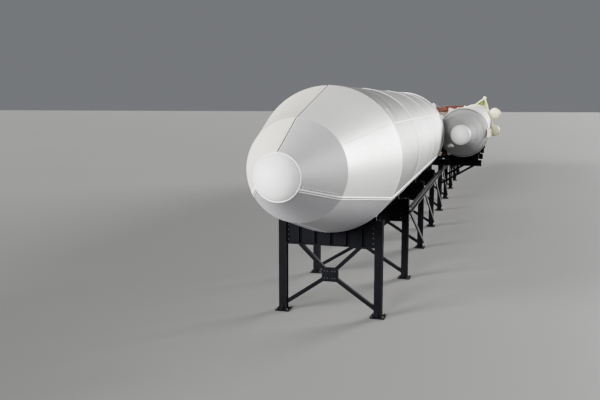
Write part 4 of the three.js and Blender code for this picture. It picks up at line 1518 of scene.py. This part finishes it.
    def lines(self) -> None:
        """Pressure lines and their clamps, and small umbilical plates."""
        r, shape = self.radius, Shape(RACEWAY_METAL)
        for angle, radius in ((84.0, 0.03), (80.5, 0.022), (77.5, 0.026)):
            for ends in ((29.5, 47.5), (49.9, 56.5)):
                line = [CORE.point(station, angle, r + 0.012 + radius) for station in ends]
                shape.on(RACEWAY_METAL).bar(*line, radius)
            for station in along(29.8, 56.4, 1.15):
                if not 47.4 < station < 50.0:
                    size = (radius * 2 + 0.05, 0.05, radius * 2 + 0.022)
                    shape.on(DULL_FASTENER).block(size, CORE.seat(station, angle, r), chamfer=0.012)
        for station, angle, width, length in self.plates:
            seat = CORE.seat(station, angle, r - 0.012)
            shape.on(BRONZE_RIBS).plate(width, length, 0.035, seat, corner=0.05)
            x, y = width * 0.4, length * 0.42
            shape.on(DULL_FASTENER).studs(0.013, 0.01, spread(seat, product((-x, 0.0, x), (-y, y)), 0.033))
            shape.stud(width * 0.16, 0.07, seat, sides=20)
        shape.piece("core_lines", Slot.BRONZE)


# Core engine


@dataclass
class CoreEngine:
    """Two gimballed thrust chambers on their frame, one above the other."""

    gimbal: float = 59.75
    spacing: float = 0.88
    head: float = 0.24
    exit: float = 62.2

    def build(self) -> None:
        """Build the fixed parts and both chambers."""
        dress("engine_thrust_frame", ENGINE)
        for level in Level:
            dress(f"engine_gimbal_cross_{level.value}", FASTENER)
            self.chamber(level)
        self.pumps()

    def chamber(self, level: Level) -> None:
        """Injector dome, chamber and tube-walled bell, with stiffening bands.

        Args:
            level: Place of the chamber.
        """
        axis, h = Axis(0.0, AXIS_HEIGHT + level.sign * self.spacing), self.gimbal + self.head
        end = self.exit - h
        outer = [
            (0.0, 0.0), (0.0, 0.27), (0.02, 0.3), (0.08, 0.33), (0.1, 0.345), (0.16, 0.345), (0.17, 0.32),
        ]
        bell = [
            (0.5, 0.318), (0.62, 0.295), (0.74, 0.24), (0.85, 0.2), (0.93, 0.205), (1.05, 0.25), (1.2, 0.318),
            (1.4, 0.395), (1.6, 0.457), (1.8, 0.51), (2.0, 0.553), (end, 0.59),
        ]
        inner = [
            (end, 0.56), (1.8, 0.475), (1.4, 0.355), (1.2, 0.28), (1.05, 0.215), (0.93, 0.17), (0.9, 0.0),
        ]
        finishes = [ENGINE] * len(outer) + [BELL] * (len(bell) - 1) + [SOOT] * len(inner)
        shape = Shape(BELL)
        profile = [(h + s, radius) for s, radius in (*outer, *bell, *inner)]
        shape.revolve(profile, axis, finishes=finishes)
        bands = ((0.97, 0.222), (1.12, 0.288), (1.3, 0.36), (1.5, 0.43), (1.7, 0.486), (1.9, 0.533))
        for place, radius in bands:
            shape.on(ENGINE).revolve(
                hoop(h + place, radius, width=0.045, rise=0.022, depth=0.02), axis, segments=64,
            )
        shape.revolve(hoop(self.exit - 0.032, 0.585, width=0.062, rise=0.015, depth=0.01), axis)
        shape.on(FASTENER).studs(0.016, 0.02, axis.seats(h + 0.13, 0.345, count=28))
        ear = [(-0.08, 0.26), (-0.08, 0.0), *arc(195.0, 345.0, 10, 0.09), (0.08, 0.0), (0.08, 0.26)]
        for side in (-1, 1):
            heights = (axis.z + side * 0.15, axis.z + side * 0.2)
            shape.on(ENGINE).loft([[spot(x, self.gimbal + y, height) for x, y in ear] for height in heights])
            start = spot(0.0, self.gimbal, axis.z + side * 0.198)
            shape.rod(start, start + Vector((0.0, 0.0, side)), [(0.0, 0.05), (0.035, 0.05), (0.045, 0.035)])
        shape.pipe([axis.point(h + 0.34, a, 0.37) for a in range(-60, 241, 30)], 0.05, sides=14, fine=4)
        for i in range(16):
            foot, tip = (axis.point(h + 0.3, 22.5 * i, radius) for radius in (0.3, 0.5))
            shape.rod(foot, tip, [(0.0, 0.022), (0.06, 0.022)], sides=8)
        shape.piece(
            f"thrust_chamber_{level.value}", Slot.ENGINE, f"engine_chamber_{level.value}",
            f"engine_{level.value}_chamber_body",
        )

    def pumps(self) -> None:
        """Feed lines, pump flanges and bolts on the thrust frame."""
        shape, front = Shape(PUMP), 59.1
        feed = ((0.62, 0.5, 0.2), (0.64, 0.52, 0.42), (0.68, 0.42, 0.66), (0.7, 0.2, 0.78), (0.7, -0.02, 0.8))
        exhaust = ((0.62, 0.86), (0.62, 1.0), (0.78, 1.16), (1.0, 1.22), (1.12, 1.4), (1.13, 1.75))
        for side in (-1, 1):
            axis = Axis(side * 0.62)
            for station, radius in ((front + 0.36, 0.235), (front + 0.58, 0.235), (front + 0.12, 0.212)):
                shape.on(PUMP).revolve(
                    hoop(station, radius, width=0.05, rise=0.03, depth=0.04), axis, segments=40,
                )
            for station in (front + 0.36, front + 0.58):
                shape.on(FASTENER).studs(0.014, 0.014, axis.seats(station, 0.265, count=16))
            for lift in (-1, 1):
                path = [spot(side * x, front + s, AXIS_HEIGHT + lift * z) for x, s, z in feed]
                shape.on(ENGINE).pipe(path, 0.075, sides=16)
            line = [spot(side * x, front + s, AXIS_HEIGHT) for x, s in exhaust]
            shape.pipe(line, 0.065, sides=16)
            shape.on(PUMP).rod(
                line[-1], line[-1] + BACK, [(-0.12, 0.08), (0.0, 0.085), (0.14, 0.1)], sides=20,
            )
        for lift in (-1.0, -0.62, -0.3, 0.3, 0.62, 1.0):
            for x in (-0.15, 0.15):
                shape.on(FASTENER).stud(0.028, 0.03, tipped(x, 59.55, AXIS_HEIGHT + lift, turn=-90.0))
        shape.piece("engine_plumbing", Slot.ENGINE)


# Boosters


@dataclass
class Booster:
    """Strap-on booster of one side."""

    side: Side
    radius: float = 1.6
    tip: float = 25.85
    tip_radius: float = 0.62
    cone_end: float = 30.1
    aft_start: float = 56.3
    aft_end: float = 59.2
    aft_radius: float = 1.75
    pivot: float = 57.0
    strut_end: float = 2.5006
    steps: int = 128
    # name, front and rear station, stations of its struts
    lengths: tuple[tuple[str, float, float, Sequence[float]], ...] = (
        ("forward_skirt", 30.1, 31.6, (31.0,)), ("motor_case_forward", 31.6, 39.9, ()),
        ("motor_case_centre", 39.9, 48.2, ()), ("motor_case_aft", 48.2, 56.3, (55.6,)),
    )

    @property
    def axis(self) -> Axis:
        """Axis of the booster."""
        return Axis(self.side.sign * BOOSTER_OFFSET)

    def out(self, angle: float) -> float:
        """Angle round the booster, measured from outboard, as an angle from +X."""
        return angle if self.side is Side.RIGHT else 180.0 - angle

    def paint(self, base: SkinPaint) -> SkinPaint:
        """The finish with its streaks turned round this booster's own axis."""
        return replace(base, name=f"{base.name}_{self.side.value}", axis_x=self.axis.x * SCALE)

    def across(self, shape: Shape, outline: Profile, front: float, back: float) -> None:
        """Draw an (outboard, height) outline about the booster's axis out along it."""
        shape.slab(outline, (front, back), x=self.axis.x, across=self.side.sign)

    def piece(self, shape: Shape, name: str, slot: Slot, node: str, body: str = ROCKET_BODY) -> None:
        """Turn a shape into this booster's piece for one of its CAD nodes."""
        shape.piece(f"booster_{self.side.value}_{name}", slot, f"booster_{self.side.value}_{node}", body)

    def build(self) -> None:
        """Build the booster from its tip to its nozzle."""
        self.nose()
        for length in self.lengths:
            self.case(*length)
        self.aft_skirt()
        self.nozzle()
        self.service_tanks()
        self.lift_frame()
        self.raceway()
        dress(f"booster_{self.side.value}_flex_bearing", BEARING)

    def nose(self) -> None:
        """Cone with a round bright tip, seams, a hoist pad and two pods."""
        tip = [(self.tip + self.tip_radius - u, v) for u, v in arc(0.0, 76.0, 16, self.tip_radius)]
        (s0, r0), s1, r1 = tip[-1], self.cone_end - 0.13, self.radius
        slope = (r1 - r0) / (s1 - s0)

        def cone(station: float, rise: float = 0.0) -> tuple[float, float]:
            """Point at a height above the plain cone."""
            return station, r0 + (station - s0) * slope + rise

        tilt, end, back = degrees(atan(slope)), self.cone_end, self.cone_end - 0.001
        profile = [*tip, (s0 + 0.012, r0 + 0.008), cone(s0 + 0.05, 0.004)]
        step = ((-0.03, 0.0), (-0.026, 0.004), (0.026, 0.012), (0.03, 0.0))
        profile += [cone(station + s, rise) for station, (s, rise) in product((27.6, 28.9), step)]
        profile += [cone(29.64), cone(29.82)]
        seam = len(profile) - 2
        profile += rounded([cone(29.6), (s1, r1), (end - 0.05, r1)], {1: 0.06})[1:]
        profile += [(end - 0.048, r1 - 0.02), (back, r1 - 0.02), (back, 0.0)]
        # the cone's grey is painted shade
        skin, tip_paint = self.paint(BOOSTER_CONE_SHADE), self.paint(BOOSTER_TIP_WHITE)
        # near-black stripe on the cone before its base, and in the step behind its lip: painted shade of the
        # joint
        finishes = [tip_paint] * len(tip) + [skin] * (len(profile) - len(tip) - 3) + [GAP_SHADE, skin]
        finishes[seam] = GAP_SHADE
        shape = Shape(skin)
        shape.revolve(profile, self.axis, segments=self.steps, finishes=finishes)
        shape.on(FASTENER).studs(0.011, 0.006, self.axis.seats(end - 0.09, r1, count=60))
        shape.studs(0.008, 0.005, self.axis.seats(*cone(28.9, 0.008), 60, tilt))
        seat = self.axis.seat(29.9, self.out(0.0), 1.5)
        shape.on(CREAM).block((0.48, 0.38, 0.26), seat, chamfer=0.03)
        shape.block((0.34, 0.3, 0.29), seat, chamfer=0.03)
        for x in (-0.255, 0.255):
            shape.block((0.03, 0.42, 0.2), seat @ shift(x, 0.0, 0.0), chamfer=0.01)
        shape.on(FASTENER).studs(0.018, 0.02, spread(seat, rectangle(0.13, 0.11), 0.29))
        for station, angle, size in ((27.2, 231.5, 0.13), (27.95, 224.5, 0.105)):
            seat = self.axis.seat(station, self.out(angle), cone(station)[1], slope=tilt)
            levels = ((-0.05, 1.0), (0.06, 1.0), (0.1, 0.92), (0.135, 0.7), (0.15, 0.3))
            shape.on(BAND_WHITE).stack([(level, circle(20, size * share)) for level, share in levels], seat)
        self.piece(shape, "nose", Slot.WHITE, "nose_cone")

    def case(self, part: str, start: float, end: float, strut_stations: Sequence[float]) -> None:
        """Length of motor case with its joint ring, pins and factory seams.

        Args:
            part: Name of the CAD node without the side.
            start: Front station.
            end: Rear station.
            strut_stations: Stations of the strut lugs on it.
        """
        r, lip = self.radius, self.radius + 0.022
        ring = (
            (0.001, 0.0), (0.001, r + 0.015), (0.01, lip), (0.1, lip), (0.105, r + 0.012), (0.125, r + 0.012),
            (0.13, lip), (0.22, lip), (0.24, r),
        )
        middle = band((start + end) / 2, r, width=0.16, rise=0.01) if end - start > 4 else []
        back = ((0.06, r), (0.05, r + 0.008), (0.001, r + 0.008), (0.001, 0.0))
        profile = [*((start + s, v) for s, v in ring), *middle, *((end - s, v) for s, v in back)]
        # the forward skirt takes the darker grey copy: painted shade
        skin = self.paint(BOOSTER_SKIRT_SHADE if part == "forward_skirt" else BOOSTER_CASE)
        finishes = [skin] + [BAND_WHITE] * 7 + ([skin] + [CORK] * 5 if middle else []) + [skin] * 4
        shape = Shape(skin)
        shape.revolve(profile, self.axis, segments=self.steps, finishes=finishes)
        for place in (0.055, 0.175):
            shape.on(FASTENER).studs(0.014, 0.006, self.axis.seats(start + place, lip, count=96), sides=8)
        for station, level in product(strut_stations, Level):
            self.lug(shape.on(skin), station, level)
        self.piece(shape, f"{part}_skin", Slot.WHITE, part)

    def lug(self, shape: Shape, station: float, level: Level) -> None:
        """Tapered strut fitting that stands off the case, with its pin and bolts.

        Args:
            shape: Shape of the case, set to its paint.
            station: Station of the strut.
            level: Whether it takes the upper or the lower strut.
        """
        x, across, up = self.side.sign * self.strut_end, self.side.sign, level.sign
        # distance outboard from the strut's end, height above the rocket's axis
        cheek = [(0.0, 1.14), (0.0, 1.57), (0.04, 1.6), (0.12, 1.59), (0.5, 1.46), (0.5, 1.3)]
        web = [(u + 0.03, v - (0.06 if v > 1.45 else 0.0)) for u, v in cheek]
        for outline, low, high in ((cheek, -0.14, -0.05), (cheek, 0.05, 0.14), (web, -0.06, 0.06)):
            shape.slab(outline, (station + low, station + high), x=x, across=across, up=up)
        for u, v, reach, radius in ((0.12, 1.48, 0.137, 0.045), (0.07, 1.25, 0.07, 0.03)):
            ends = [spot(x + across * u, station + y, AXIS_HEIGHT + up * v) for y in (-reach, reach)]
            shape.on(FASTENER).bar(*ends, radius, 16)

    def aft_skirt(self) -> None:
        """Flared cream skirt with rings, ribs and the bulkhead round the nozzle's bearing."""
        a, e, r, flare = self.aft_start, self.aft_end, self.radius, self.aft_radius
        low, bore, dome, axis = flare - 0.02, 0.63, self.pivot - 0.4, self.axis
        front = ((0.001, 0.0), (0.001, r - 0.004), (0.015, r), (0.6, r), (0.9, low), (0.95, low))
        profile = rounded([(a + s, v) for s, v in front], {3: 0.1, 4: 0.08})
        profile += band(57.6, low, width=0.07, rise=0.015) + band(58.4, low, width=0.07, rise=0.015)
        inside = [(57.3, flare - 0.09), (57.15, bore + 0.2), (57.15, bore), (dome, bore), (dome, 0.0)]
        profile += [(e - 0.16, low), (e - 0.15, flare), (e, flare), (e, flare - 0.09)]
        shape = Shape(CREAM)
        finishes = [CREAM] * (len(profile) - 2) + [PRIMER_GREEN] * 6
        shape.revolve([*profile, *inside], axis, segments=self.steps, finishes=finishes)
        for i in range(36):
            run = [(a + 0.92, low), (e - 0.15, low)]
            shape.on(CREAM).strip(run, axis, 10.0 * i + 5.0, -0.018, 0.018, rise=0.012)
        for seat in axis.seats(e - 0.34, flare - 0.03, count=4, first=45.0):
            shape.on(CREAM).block((0.3, 0.62, 0.06), seat, chamfer=0.02)
            places = product((-0.1, 0.1), (-0.22, 0.0, 0.22))
            shape.on(FASTENER).studs(0.02, 0.018, spread(seat, places, 0.06))
        shape.studs(0.012, 0.007, axis.seats(a + 0.07, r, count=72) + axis.seats(e - 0.08, flare, count=72))
        shape.studs(0.022, 0.02, axis.seats(57.15, 0.74, count=24, slope=-90.0))
        for seat in axis.seats(57.22, 1.25, count=12, slope=-78.0, first=15.0):
            shape.on(HEAT_BLANKET).plate(0.34, 0.5, 0.02, seat, corner=0.05)
        self.piece(shape, "aft_skirt_shell", Slot.CREAM, "aft_skirt")

    def nozzle(self) -> None:
        """Submerged nozzle with its ball, wrapped exit cone and stiffening rings."""
        t = self.pivot + 0.3
        ball = [(self.pivot + v, u) for u, v in arc(-18.0, 18.0, 6, 0.515)]
        outer = [(0.0, 0.42), (0.1, 0.43), (0.3, 0.52), (0.34, 0.56), (0.4, 0.575)]
        cone = [
            (0.7, 0.73), (1.0, 0.87), (1.3, 0.99), (1.7, 1.125), (2.1, 1.24), (2.5, 1.325), (2.76, 1.365),
            (2.77, 1.38), (2.85, 1.38),
        ]
        inner = [
            (2.85, 1.3), (2.1, 1.165), (1.7, 1.05), (1.3, 0.905), (1.0, 0.77), (0.7, 0.62), (0.3, 0.42),
            (0.15, 0.36), (0.1, 0.0),
        ]
        profile = [(ball[0][0], 0.0), *ball, *((t + s, radius) for s, radius in (*outer, *cone, *inner))]
        finishes = [ENGINE] * (len(ball) + 1) + [PAD_RUBBER] * len(outer) + [LINER] * (len(cone) - 1)
        shape = Shape(LINER)
        shape.revolve(profile, self.axis, segments=self.steps, finishes=finishes + [SOOT] * len(inner))
        for place, radius in ((0.9, 0.825), (1.5, 1.058), (2.3, 1.283)):
            shape.on(PAD_RUBBER).revolve(
                hoop(t + place, radius, width=0.09, rise=0.025, depth=0.04), self.axis,
            )
        shape.on(ENGINE).studs(0.016, 0.016, self.axis.seats(t + 0.37, 0.568, count=36, slope=15.0))
        for side in (-1, 1):
            pin = spot(self.axis.x, self.pivot, AXIS_HEIGHT + side * 0.45)
            shape.rod(pin, pin + Vector((0.0, 0.0, side)), [(0.0, 0.03), (0.0704, 0.03)], sides=12)
        self.piece(shape, "nozzle_bell", Slot.LINER, "nozzle", f"booster_{self.side.value}_nozzle_body")

    def service_tanks(self) -> None:
        """Pair of round-ended cream tanks with straps, caps and feed pipes."""
        shape = Shape(CREAM)
        start, end, r = 55.0, 58.2, 0.53
        straps = (start + 0.47, end - 0.63)
        dome = [(start + 0.26 - 0.26 * u, r * v) for u, v in arc(0.0, 90.0, 10)]
        tail = [(start + end - station, radius) for station, radius in reversed(dome)]
        seams = [*band(start + 0.95, r, width=0.05, rise=0.005), *band(end - 0.95, r, width=0.05, rise=0.005)]
        # outboard from the booster's axis, behind the tank's end, height above the rocket's axis
        feed = (
            (1.98, -0.06, 0.86), (1.98, 0.03, 0.86), (1.9, 0.12, 0.66), (1.78, 0.14, 0.3), (1.74, 0.2, 0.12),
        )
        for level in Level:
            axis = Axis(self.side.sign * (BOOSTER_OFFSET + 1.98), AXIS_HEIGHT + level.sign * 0.86)
            shape.on(CREAM).revolve([*dome, *seams, *tail], axis, segments=72)
            for station in straps:
                shape.on(FASTENER).revolve(
                    hoop(station, r, width=0.1, rise=0.012, depth=0.004), axis, segments=72,
                )
                shape.block((0.12, 0.14, 0.04), axis.seat(station, self.out(0.0), r), chamfer=0.01)
            shape.rod(axis.point(start), axis.point(end), [(0.0, 0.05), (0.01, 0.06), (0.03, 0.06)])
            across, up = self.side.sign, level.sign
            path = [spot(across * (BOOSTER_OFFSET + x), end + s, AXIS_HEIGHT + up * z) for x, s, z in feed]
            shape.pipe(path, 0.035)
        saddle = [(1.86, 0.72), (1.7, 0.46), (1.78, 0.2), (1.78, -0.2), (1.7, -0.46), (1.86, -0.72)]
        for station, inner in zip(straps, (self.radius + 0.013, self.aft_radius + 0.01)):
            outline = arc(-24.0, 24.0, 6, inner) + saddle
            self.across(shape.on(CREAM), outline, station - 0.06, station + 0.06)
        self.piece(shape, "tank_pair", Slot.CREAM, "service_tanks")

    def lift_frame(self) -> None:
        """Triangular cream frame on the upper outboard side, green within, with a ball on top."""
        shape, foot_radius, apex = Shape(CREAM), self.aft_radius + 0.004, Vector((0.92, 2.42))
        feet = [Vector((x, sqrt(foot_radius ** 2 - x ** 2))) for x in (0.06, 1.36)]
        bars = [
            (foot.lerp(apex, 0.05), apex, width, front, back, CREAM)
            for foot in feet for width, front, back in ((0.11, 57.5, 57.56), (0.035, 57.5, 58.3))
        ]
        bars.append((Vector((0.62, foot_radius)), Vector((0.9, 2.2)), 0.03, 57.56, 58.2, PRIMER_GREEN))
        for low, high, width, front, back, finish in bars:
            side = (high - low).orthogonal().normalized() * width / 2
            outline = [tuple(point) for point in (low + side, low - side, high - side, high + side)]
            self.across(shape.on(finish), outline, front, back)
        web = [(0.2, 1.8), (0.84, 2.22), (0.98, 2.22), (1.3, 1.3), (1.1, 1.42), (0.7, 1.66)]
        self.across(shape.on(PRIMER_GREEN), web, 58.0, 58.04)
        for foot in feet:
            seat = self.axis.seat(57.9, self.out(degrees(atan2(foot.y, foot.x))), foot_radius)
            shape.on(CREAM).block((0.3, 0.86, 0.035), seat, chamfer=0.01)
            places = product((-0.1, 0.1), (-0.34, 0.0, 0.34))
            shape.on(FASTENER).studs(0.018, 0.018, spread(seat, places, 0.033))
        top = Axis(self.axis.x + self.side.sign * apex.x, AXIS_HEIGHT + apex.y)
        shape.on(BAND_WHITE).revolve([(57.7 - u, v) for u, v in arc(0.0, 180.0, 14, 0.15)], top, segments=24)
        shape.rod(top.point(57.6), top.point(58.6), [(0.0, 0.07), (0.5, 0.07)])
        self.piece(shape, "lift_bracket", Slot.CREAM, "lift_frame")

    def raceway(self) -> None:
        """Cable tunnel along the motor cases, with bridges over the joint rings."""
        skin, angle = self.paint(BOOSTER_CASE), self.out(214.0)
        shape = Shape(skin)
        cover = cable_cover((0.2, 0.004), (0.19, 0.06), (0.12, 0.135))
        for start, end in ((31.9, 39.88), (40.16, 48.18), (48.46, 55.2)):
            count = round((end - start) / 1.6)
            step = (end - start) / count
            for i in range(count):
                a, b = start + step * i + 0.01, start + step * (i + 1) - 0.01
                shape.on(skin).tunnel(cover, self.axis, angle, self.radius, (a, b))
                for station in (a + 0.1, b - 0.1):
                    for x in (-0.225, 0.225):
                        foot = self.axis.seat(station, angle, self.radius) @ shift(x, 0.0, -0.012)
                        shape.on(FASTENER).block((0.07, 0.1, 0.02), foot, chamfer=0.005)
                        shape.stud(0.016, 0.032, foot)
        for station in (40.02, 48.32):
            shape.on(skin).block(
                (0.42, 0.3, 0.09), self.axis.seat(station, angle, self.radius + 0.026), chamfer=0.03,
            )
        self.piece(shape, "cable_tunnel", Slot.WHITE, "raceway")


# Struts


@dataclass
class Struts:
    """Beams that stand out from the core's shoulders to the boosters, above and below."""

    stations: dict[str, float] = field(default_factory=lambda: {"forward": 31.0, "aft": 55.6})
    lift: float = 1.48
    half: float = 0.14

    def build(self) -> None:
        """Build the eight beams."""
        for place, side, level in product(self.stations, Side, Level):
            self.beam(place, side, level)

    def beam(self, place: str, side: Side, level: Level) -> None:
        """One beam with its bracket on the core, doublers, bolts and a round barrel at its outer end.

        Args:
            place: "forward" or "aft".
            side: Side of its booster.
            level: Whether it is the upper or the lower one.
        """
        shape, station, d, cut = Shape(RUST), self.stations[place], self.half, self.half - 0.03
        across, up, z = side.sign, level.sign, AXIS_HEIGHT + level.sign * self.lift
        section = [(-d, -cut), (-cut, -d), (cut, -d), (d, -cut), (d, cut), (cut, d), (-cut, d), (-d, cut)]
        for ends, grow in (((0.78, 2.06), 1.0), ((1.25, 1.35), 1.05), ((1.9, 2.0), 1.05)):
            shape.loft([
                [spot(across * x, station + y * grow, z + h * grow) for y, h in section] for x in ends
            ])
        foot = arc(68.0, 41.0, 9, 1.532)
        top = self.lift + self.half - 0.03
        plate = [*foot, (1.42, 0.96), (1.98, self.lift - 0.13), (1.98, top), (0.6, top)]
        shoe = [*foot, *((x * 1.022, h * 1.022) for x, h in reversed(foot))]
        web = [(x, h) for x, h in plate if x > 0.7]
        for outline, low, high in (
            (plate, -0.136, -0.11), (plate, 0.11, 0.136), (shoe, -0.14, 0.14), (web, -0.015, 0.015),
        ):
            shape.slab(outline, (station + low, station + high), across=across, up=up)
        barrel = [(0.0, 0.11), (0.02, 0.146), (0.3, 0.15), (0.38, 0.142), (0.44, 0.12), (0.495, 0.085)]
        shape.on(RUST_BARREL).rod(
            spot(across * 2.0, station, z), spot(across * 4.0, station, z), barrel, sides=32,
        )
        for x, y in product((0.68, 0.82, 0.96, 1.3, 1.95), (-0.09, 0.09)):
            seat = tipped(across * x, station + y, z + up * d * 1.05, turn=0.0 if up > 0 else 180.0)
            shape.on(FASTENER).stud(0.02, 0.018, seat)
        name = f"{place}_{side.value}_{level.value}"
        shape.piece(f"beam_{name}", Slot.RUST, f"strut_{name}")


# Display stand


@dataclass
class Stand:
    """Black steel trestles and side rails: the frame's own solids, with bolts, pads and gussets."""

    post: float = 0.28
    # station, distance of its posts from the middle
    front: Profile = ((6.7, 1.75), (12.5, 1.96), (19.05, 1.96), (25.6, 1.96))
    rear: Profile = ((32.2, 1.96), (38.5, 1.96), (45.1, 1.96), (51.7, 1.96), (57.9, 1.96))

    def build(self) -> None:
        """Dress the steelwork and add its small parts."""
        for node in (*(f"trestle_{i}" for i in range(1, 10)), "rail_right", "rail_left"):
            dress(f"stand_{node}", BLACK_STEEL)
        shape = Shape(BLACK_STEEL)
        for station, half in self.front:
            self.feet(shape, station, half)
            self.gusset(shape, station, 1.45)
            self.girder_bolts(shape, station, half)
        for station, half in self.rear:
            self.feet(shape, station, half)
            self.gusset(shape, station, 1.78)
            self.beam_bolts(shape, station)
        shape.piece("stand_hardware", Slot.STEEL)

    def feet(self, shape: Shape, station: float, half: float) -> None:
        """Anchor bolts, nuts and stiffener plates at the foot of both posts.

        Args:
            shape: Shape of the small parts.
            station: Station of the trestle.
            half: Distance of its posts from the middle.
        """
        rib = [(0.0, 0.04), (0.1, 0.04), (0.03, 0.24), (0.0, 0.24)]
        for x in (-half, half):
            for u, v in rectangle(0.2, 0.2):
                seat = tipped(x + u, station + v, 0.04)
                shape.on(BLACK_STEEL).stud(0.038, 0.008, seat, sides=16)
                shape.on(DULL_FASTENER).stud(0.026, 0.03, seat)
                shape.stud(0.012, 0.07, seat, sides=8)
            for side in (-1, 1):
                plate = [(station + side * (self.post / 2 + y), z) for y, z in rib]
                faces = [[spot(x + w, *point) for point in plate] for w in (-0.012, 0.012)]
                shape.on(BLACK_STEEL).loft(faces)

    def gusset(self, shape: Shape, station: float, height: float) -> None:
        """Plates with bolts where the braces cross.

        Args:
            shape: Shape of the small parts.
            station: Station of the trestle.
            height: Height of the crossing.
        """
        for side in (-1, 1):
            seat = tipped(0.0, station + side * 0.0712, height, turn=side * -90.0)
            shape.on(BLACK_STEEL).plate(0.52, 0.42, 0.02, seat, corner=0.04)
            places = product((-0.19, -0.09, 0.09, 0.19), (-0.13, 0.13))
            shape.on(DULL_FASTENER).studs(0.018, 0.016, spread(seat, places, 0.018))

    def girder_bolts(self, shape: Shape, station: float, half: float) -> None:
        """Bolts at both ends of a girder, given its station and the distance of its posts from the middle."""
        for side, x, z in product((-1, 1), (0.2 - half, half - 0.2), (2.66, 2.84, 3.02, 3.2)):
            shape.on(DULL_FASTENER).stud(0.02, 0.018, tipped(x, station + side * 0.03, z, turn=side * -90.0))

    def beam_bolts(self, shape: Shape, station: float) -> None:
        """Bolts and web stiffeners of a long cross beam.

        Args:
            shape: Shape of the small parts.
            station: Station of the beam.
        """
        for x in (-4.3, -3.55, -2.8, -1.96, -0.8, 0.0, 0.8, 1.96, 2.8, 3.55, 4.3):
            for side in (-1, 1):
                stations = (station + side * 0.012, station + side * 0.135)
                shape.on(BLACK_STEEL).slab(rectangle(0.012, 0.18), stations, x=x, z=3.41)
        for x in (-4.62, -1.96, 1.96, 4.62):
            for u, v in rectangle(0.08, 0.09):
                shape.on(DULL_FASTENER).stud(0.02, 0.02, tipped(x + u, station + v, 3.2, turn=180.0))


# Studio


@dataclass
class Studio:
    """Pale floor, soft lights and the camera of the photograph."""

    camera_place: Size = (5.44, -16.7, 7.56)
    heading: float = 15.68
    pitch: float = 8.105
    focal_pixels: float = 685.0
    picture_width: float = 600.0
    sky: float = 0.2
    floor_reach: float = 260.0
    # name, heading from the nose towards the right, height, width (degrees), strength
    suns: tuple[tuple[str, float, float, float, float], ...] = (
        ("front_light", -10.0, 15.0, 16.0, 5.0),
        ("left_light", -42.0, 14.0, 22.0, 8.5),
        ("right_light", 147.0, 8.0, 24.0, 12.0),
    )

    def build(self) -> None:
        """Build the floor, the lights and the camera."""
        self.floor()
        self.lights()
        self.camera()

    def floor(self) -> None:
        """Large plain floor."""
        mesh = bpy.data.meshes.new("studio_floor")
        corners = [(x, y, 0.0) for x, y in rectangle(self.floor_reach, self.floor_reach)]
        mesh.from_pydata(corners, [], [(0, 1, 2, 3)])
        mesh.materials.append(
            StudioFloor("studio_floor_paint", (0.19, 0.19, 0.188), roughness=0.7).material(),
        )
        put("studio_floor", mesh)

    def lights(self) -> None:
        """Even sky and three broad suns, which light every part of the long rocket alike."""
        world = bpy.data.worlds.new("studio_sky")
        world.use_nodes = True
        back = world.node_tree.nodes["Background"]
        back.inputs["Color"].default_value = (0.9, 0.93, 1.0, 1.0)
        back.inputs["Strength"].default_value = self.sky
        bpy.context.scene.world = world
        for name, heading, height, width, strength in self.suns:
            turn, lift = radians(heading), radians(height)
            source = Vector((sin(turn) * cos(lift), -cos(turn) * cos(lift), sin(lift)))
            data = bpy.data.lights.new(name, "SUN")
            data.angle = radians(width)
            data.energy = strength
            data.color = (1.0, 0.99, 0.97)
            made = put(name, data)
            made.location = source * 20.0
            made.rotation_euler = (-source).to_track_quat("-Z", "Y").to_euler()

    def camera(self) -> None:
        """Camera at the photograph's place, angle and lens."""
        data = bpy.data.cameras.new("photo_camera")
        data.sensor_width = 36.0
        data.lens = self.focal_pixels / self.picture_width * data.sensor_width
        data.clip_start = 0.1
        data.clip_end = 600.0
        made = put("photo_camera", data)
        made.location = spot(*self.camera_place)
        made.rotation_euler = (radians(90.0 - self.pitch), 0.0, radians(self.heading))
        bpy.context.scene.camera = made


def main() -> None:
    """Build the studio and every sub-assembly."""
    logging.basicConfig(level=logging.INFO, format="%(name)s %(message)s")
    boosters = (Booster(side) for side in Side)
    for builder in (Studio(), Fairing(), CoreStages(), CoreEngine(), *boosters, Struts(), Stand()):
        builder.build()
        LOG.info("%s is built", type(builder).__name__)


if __name__ == "__main__":
    main()
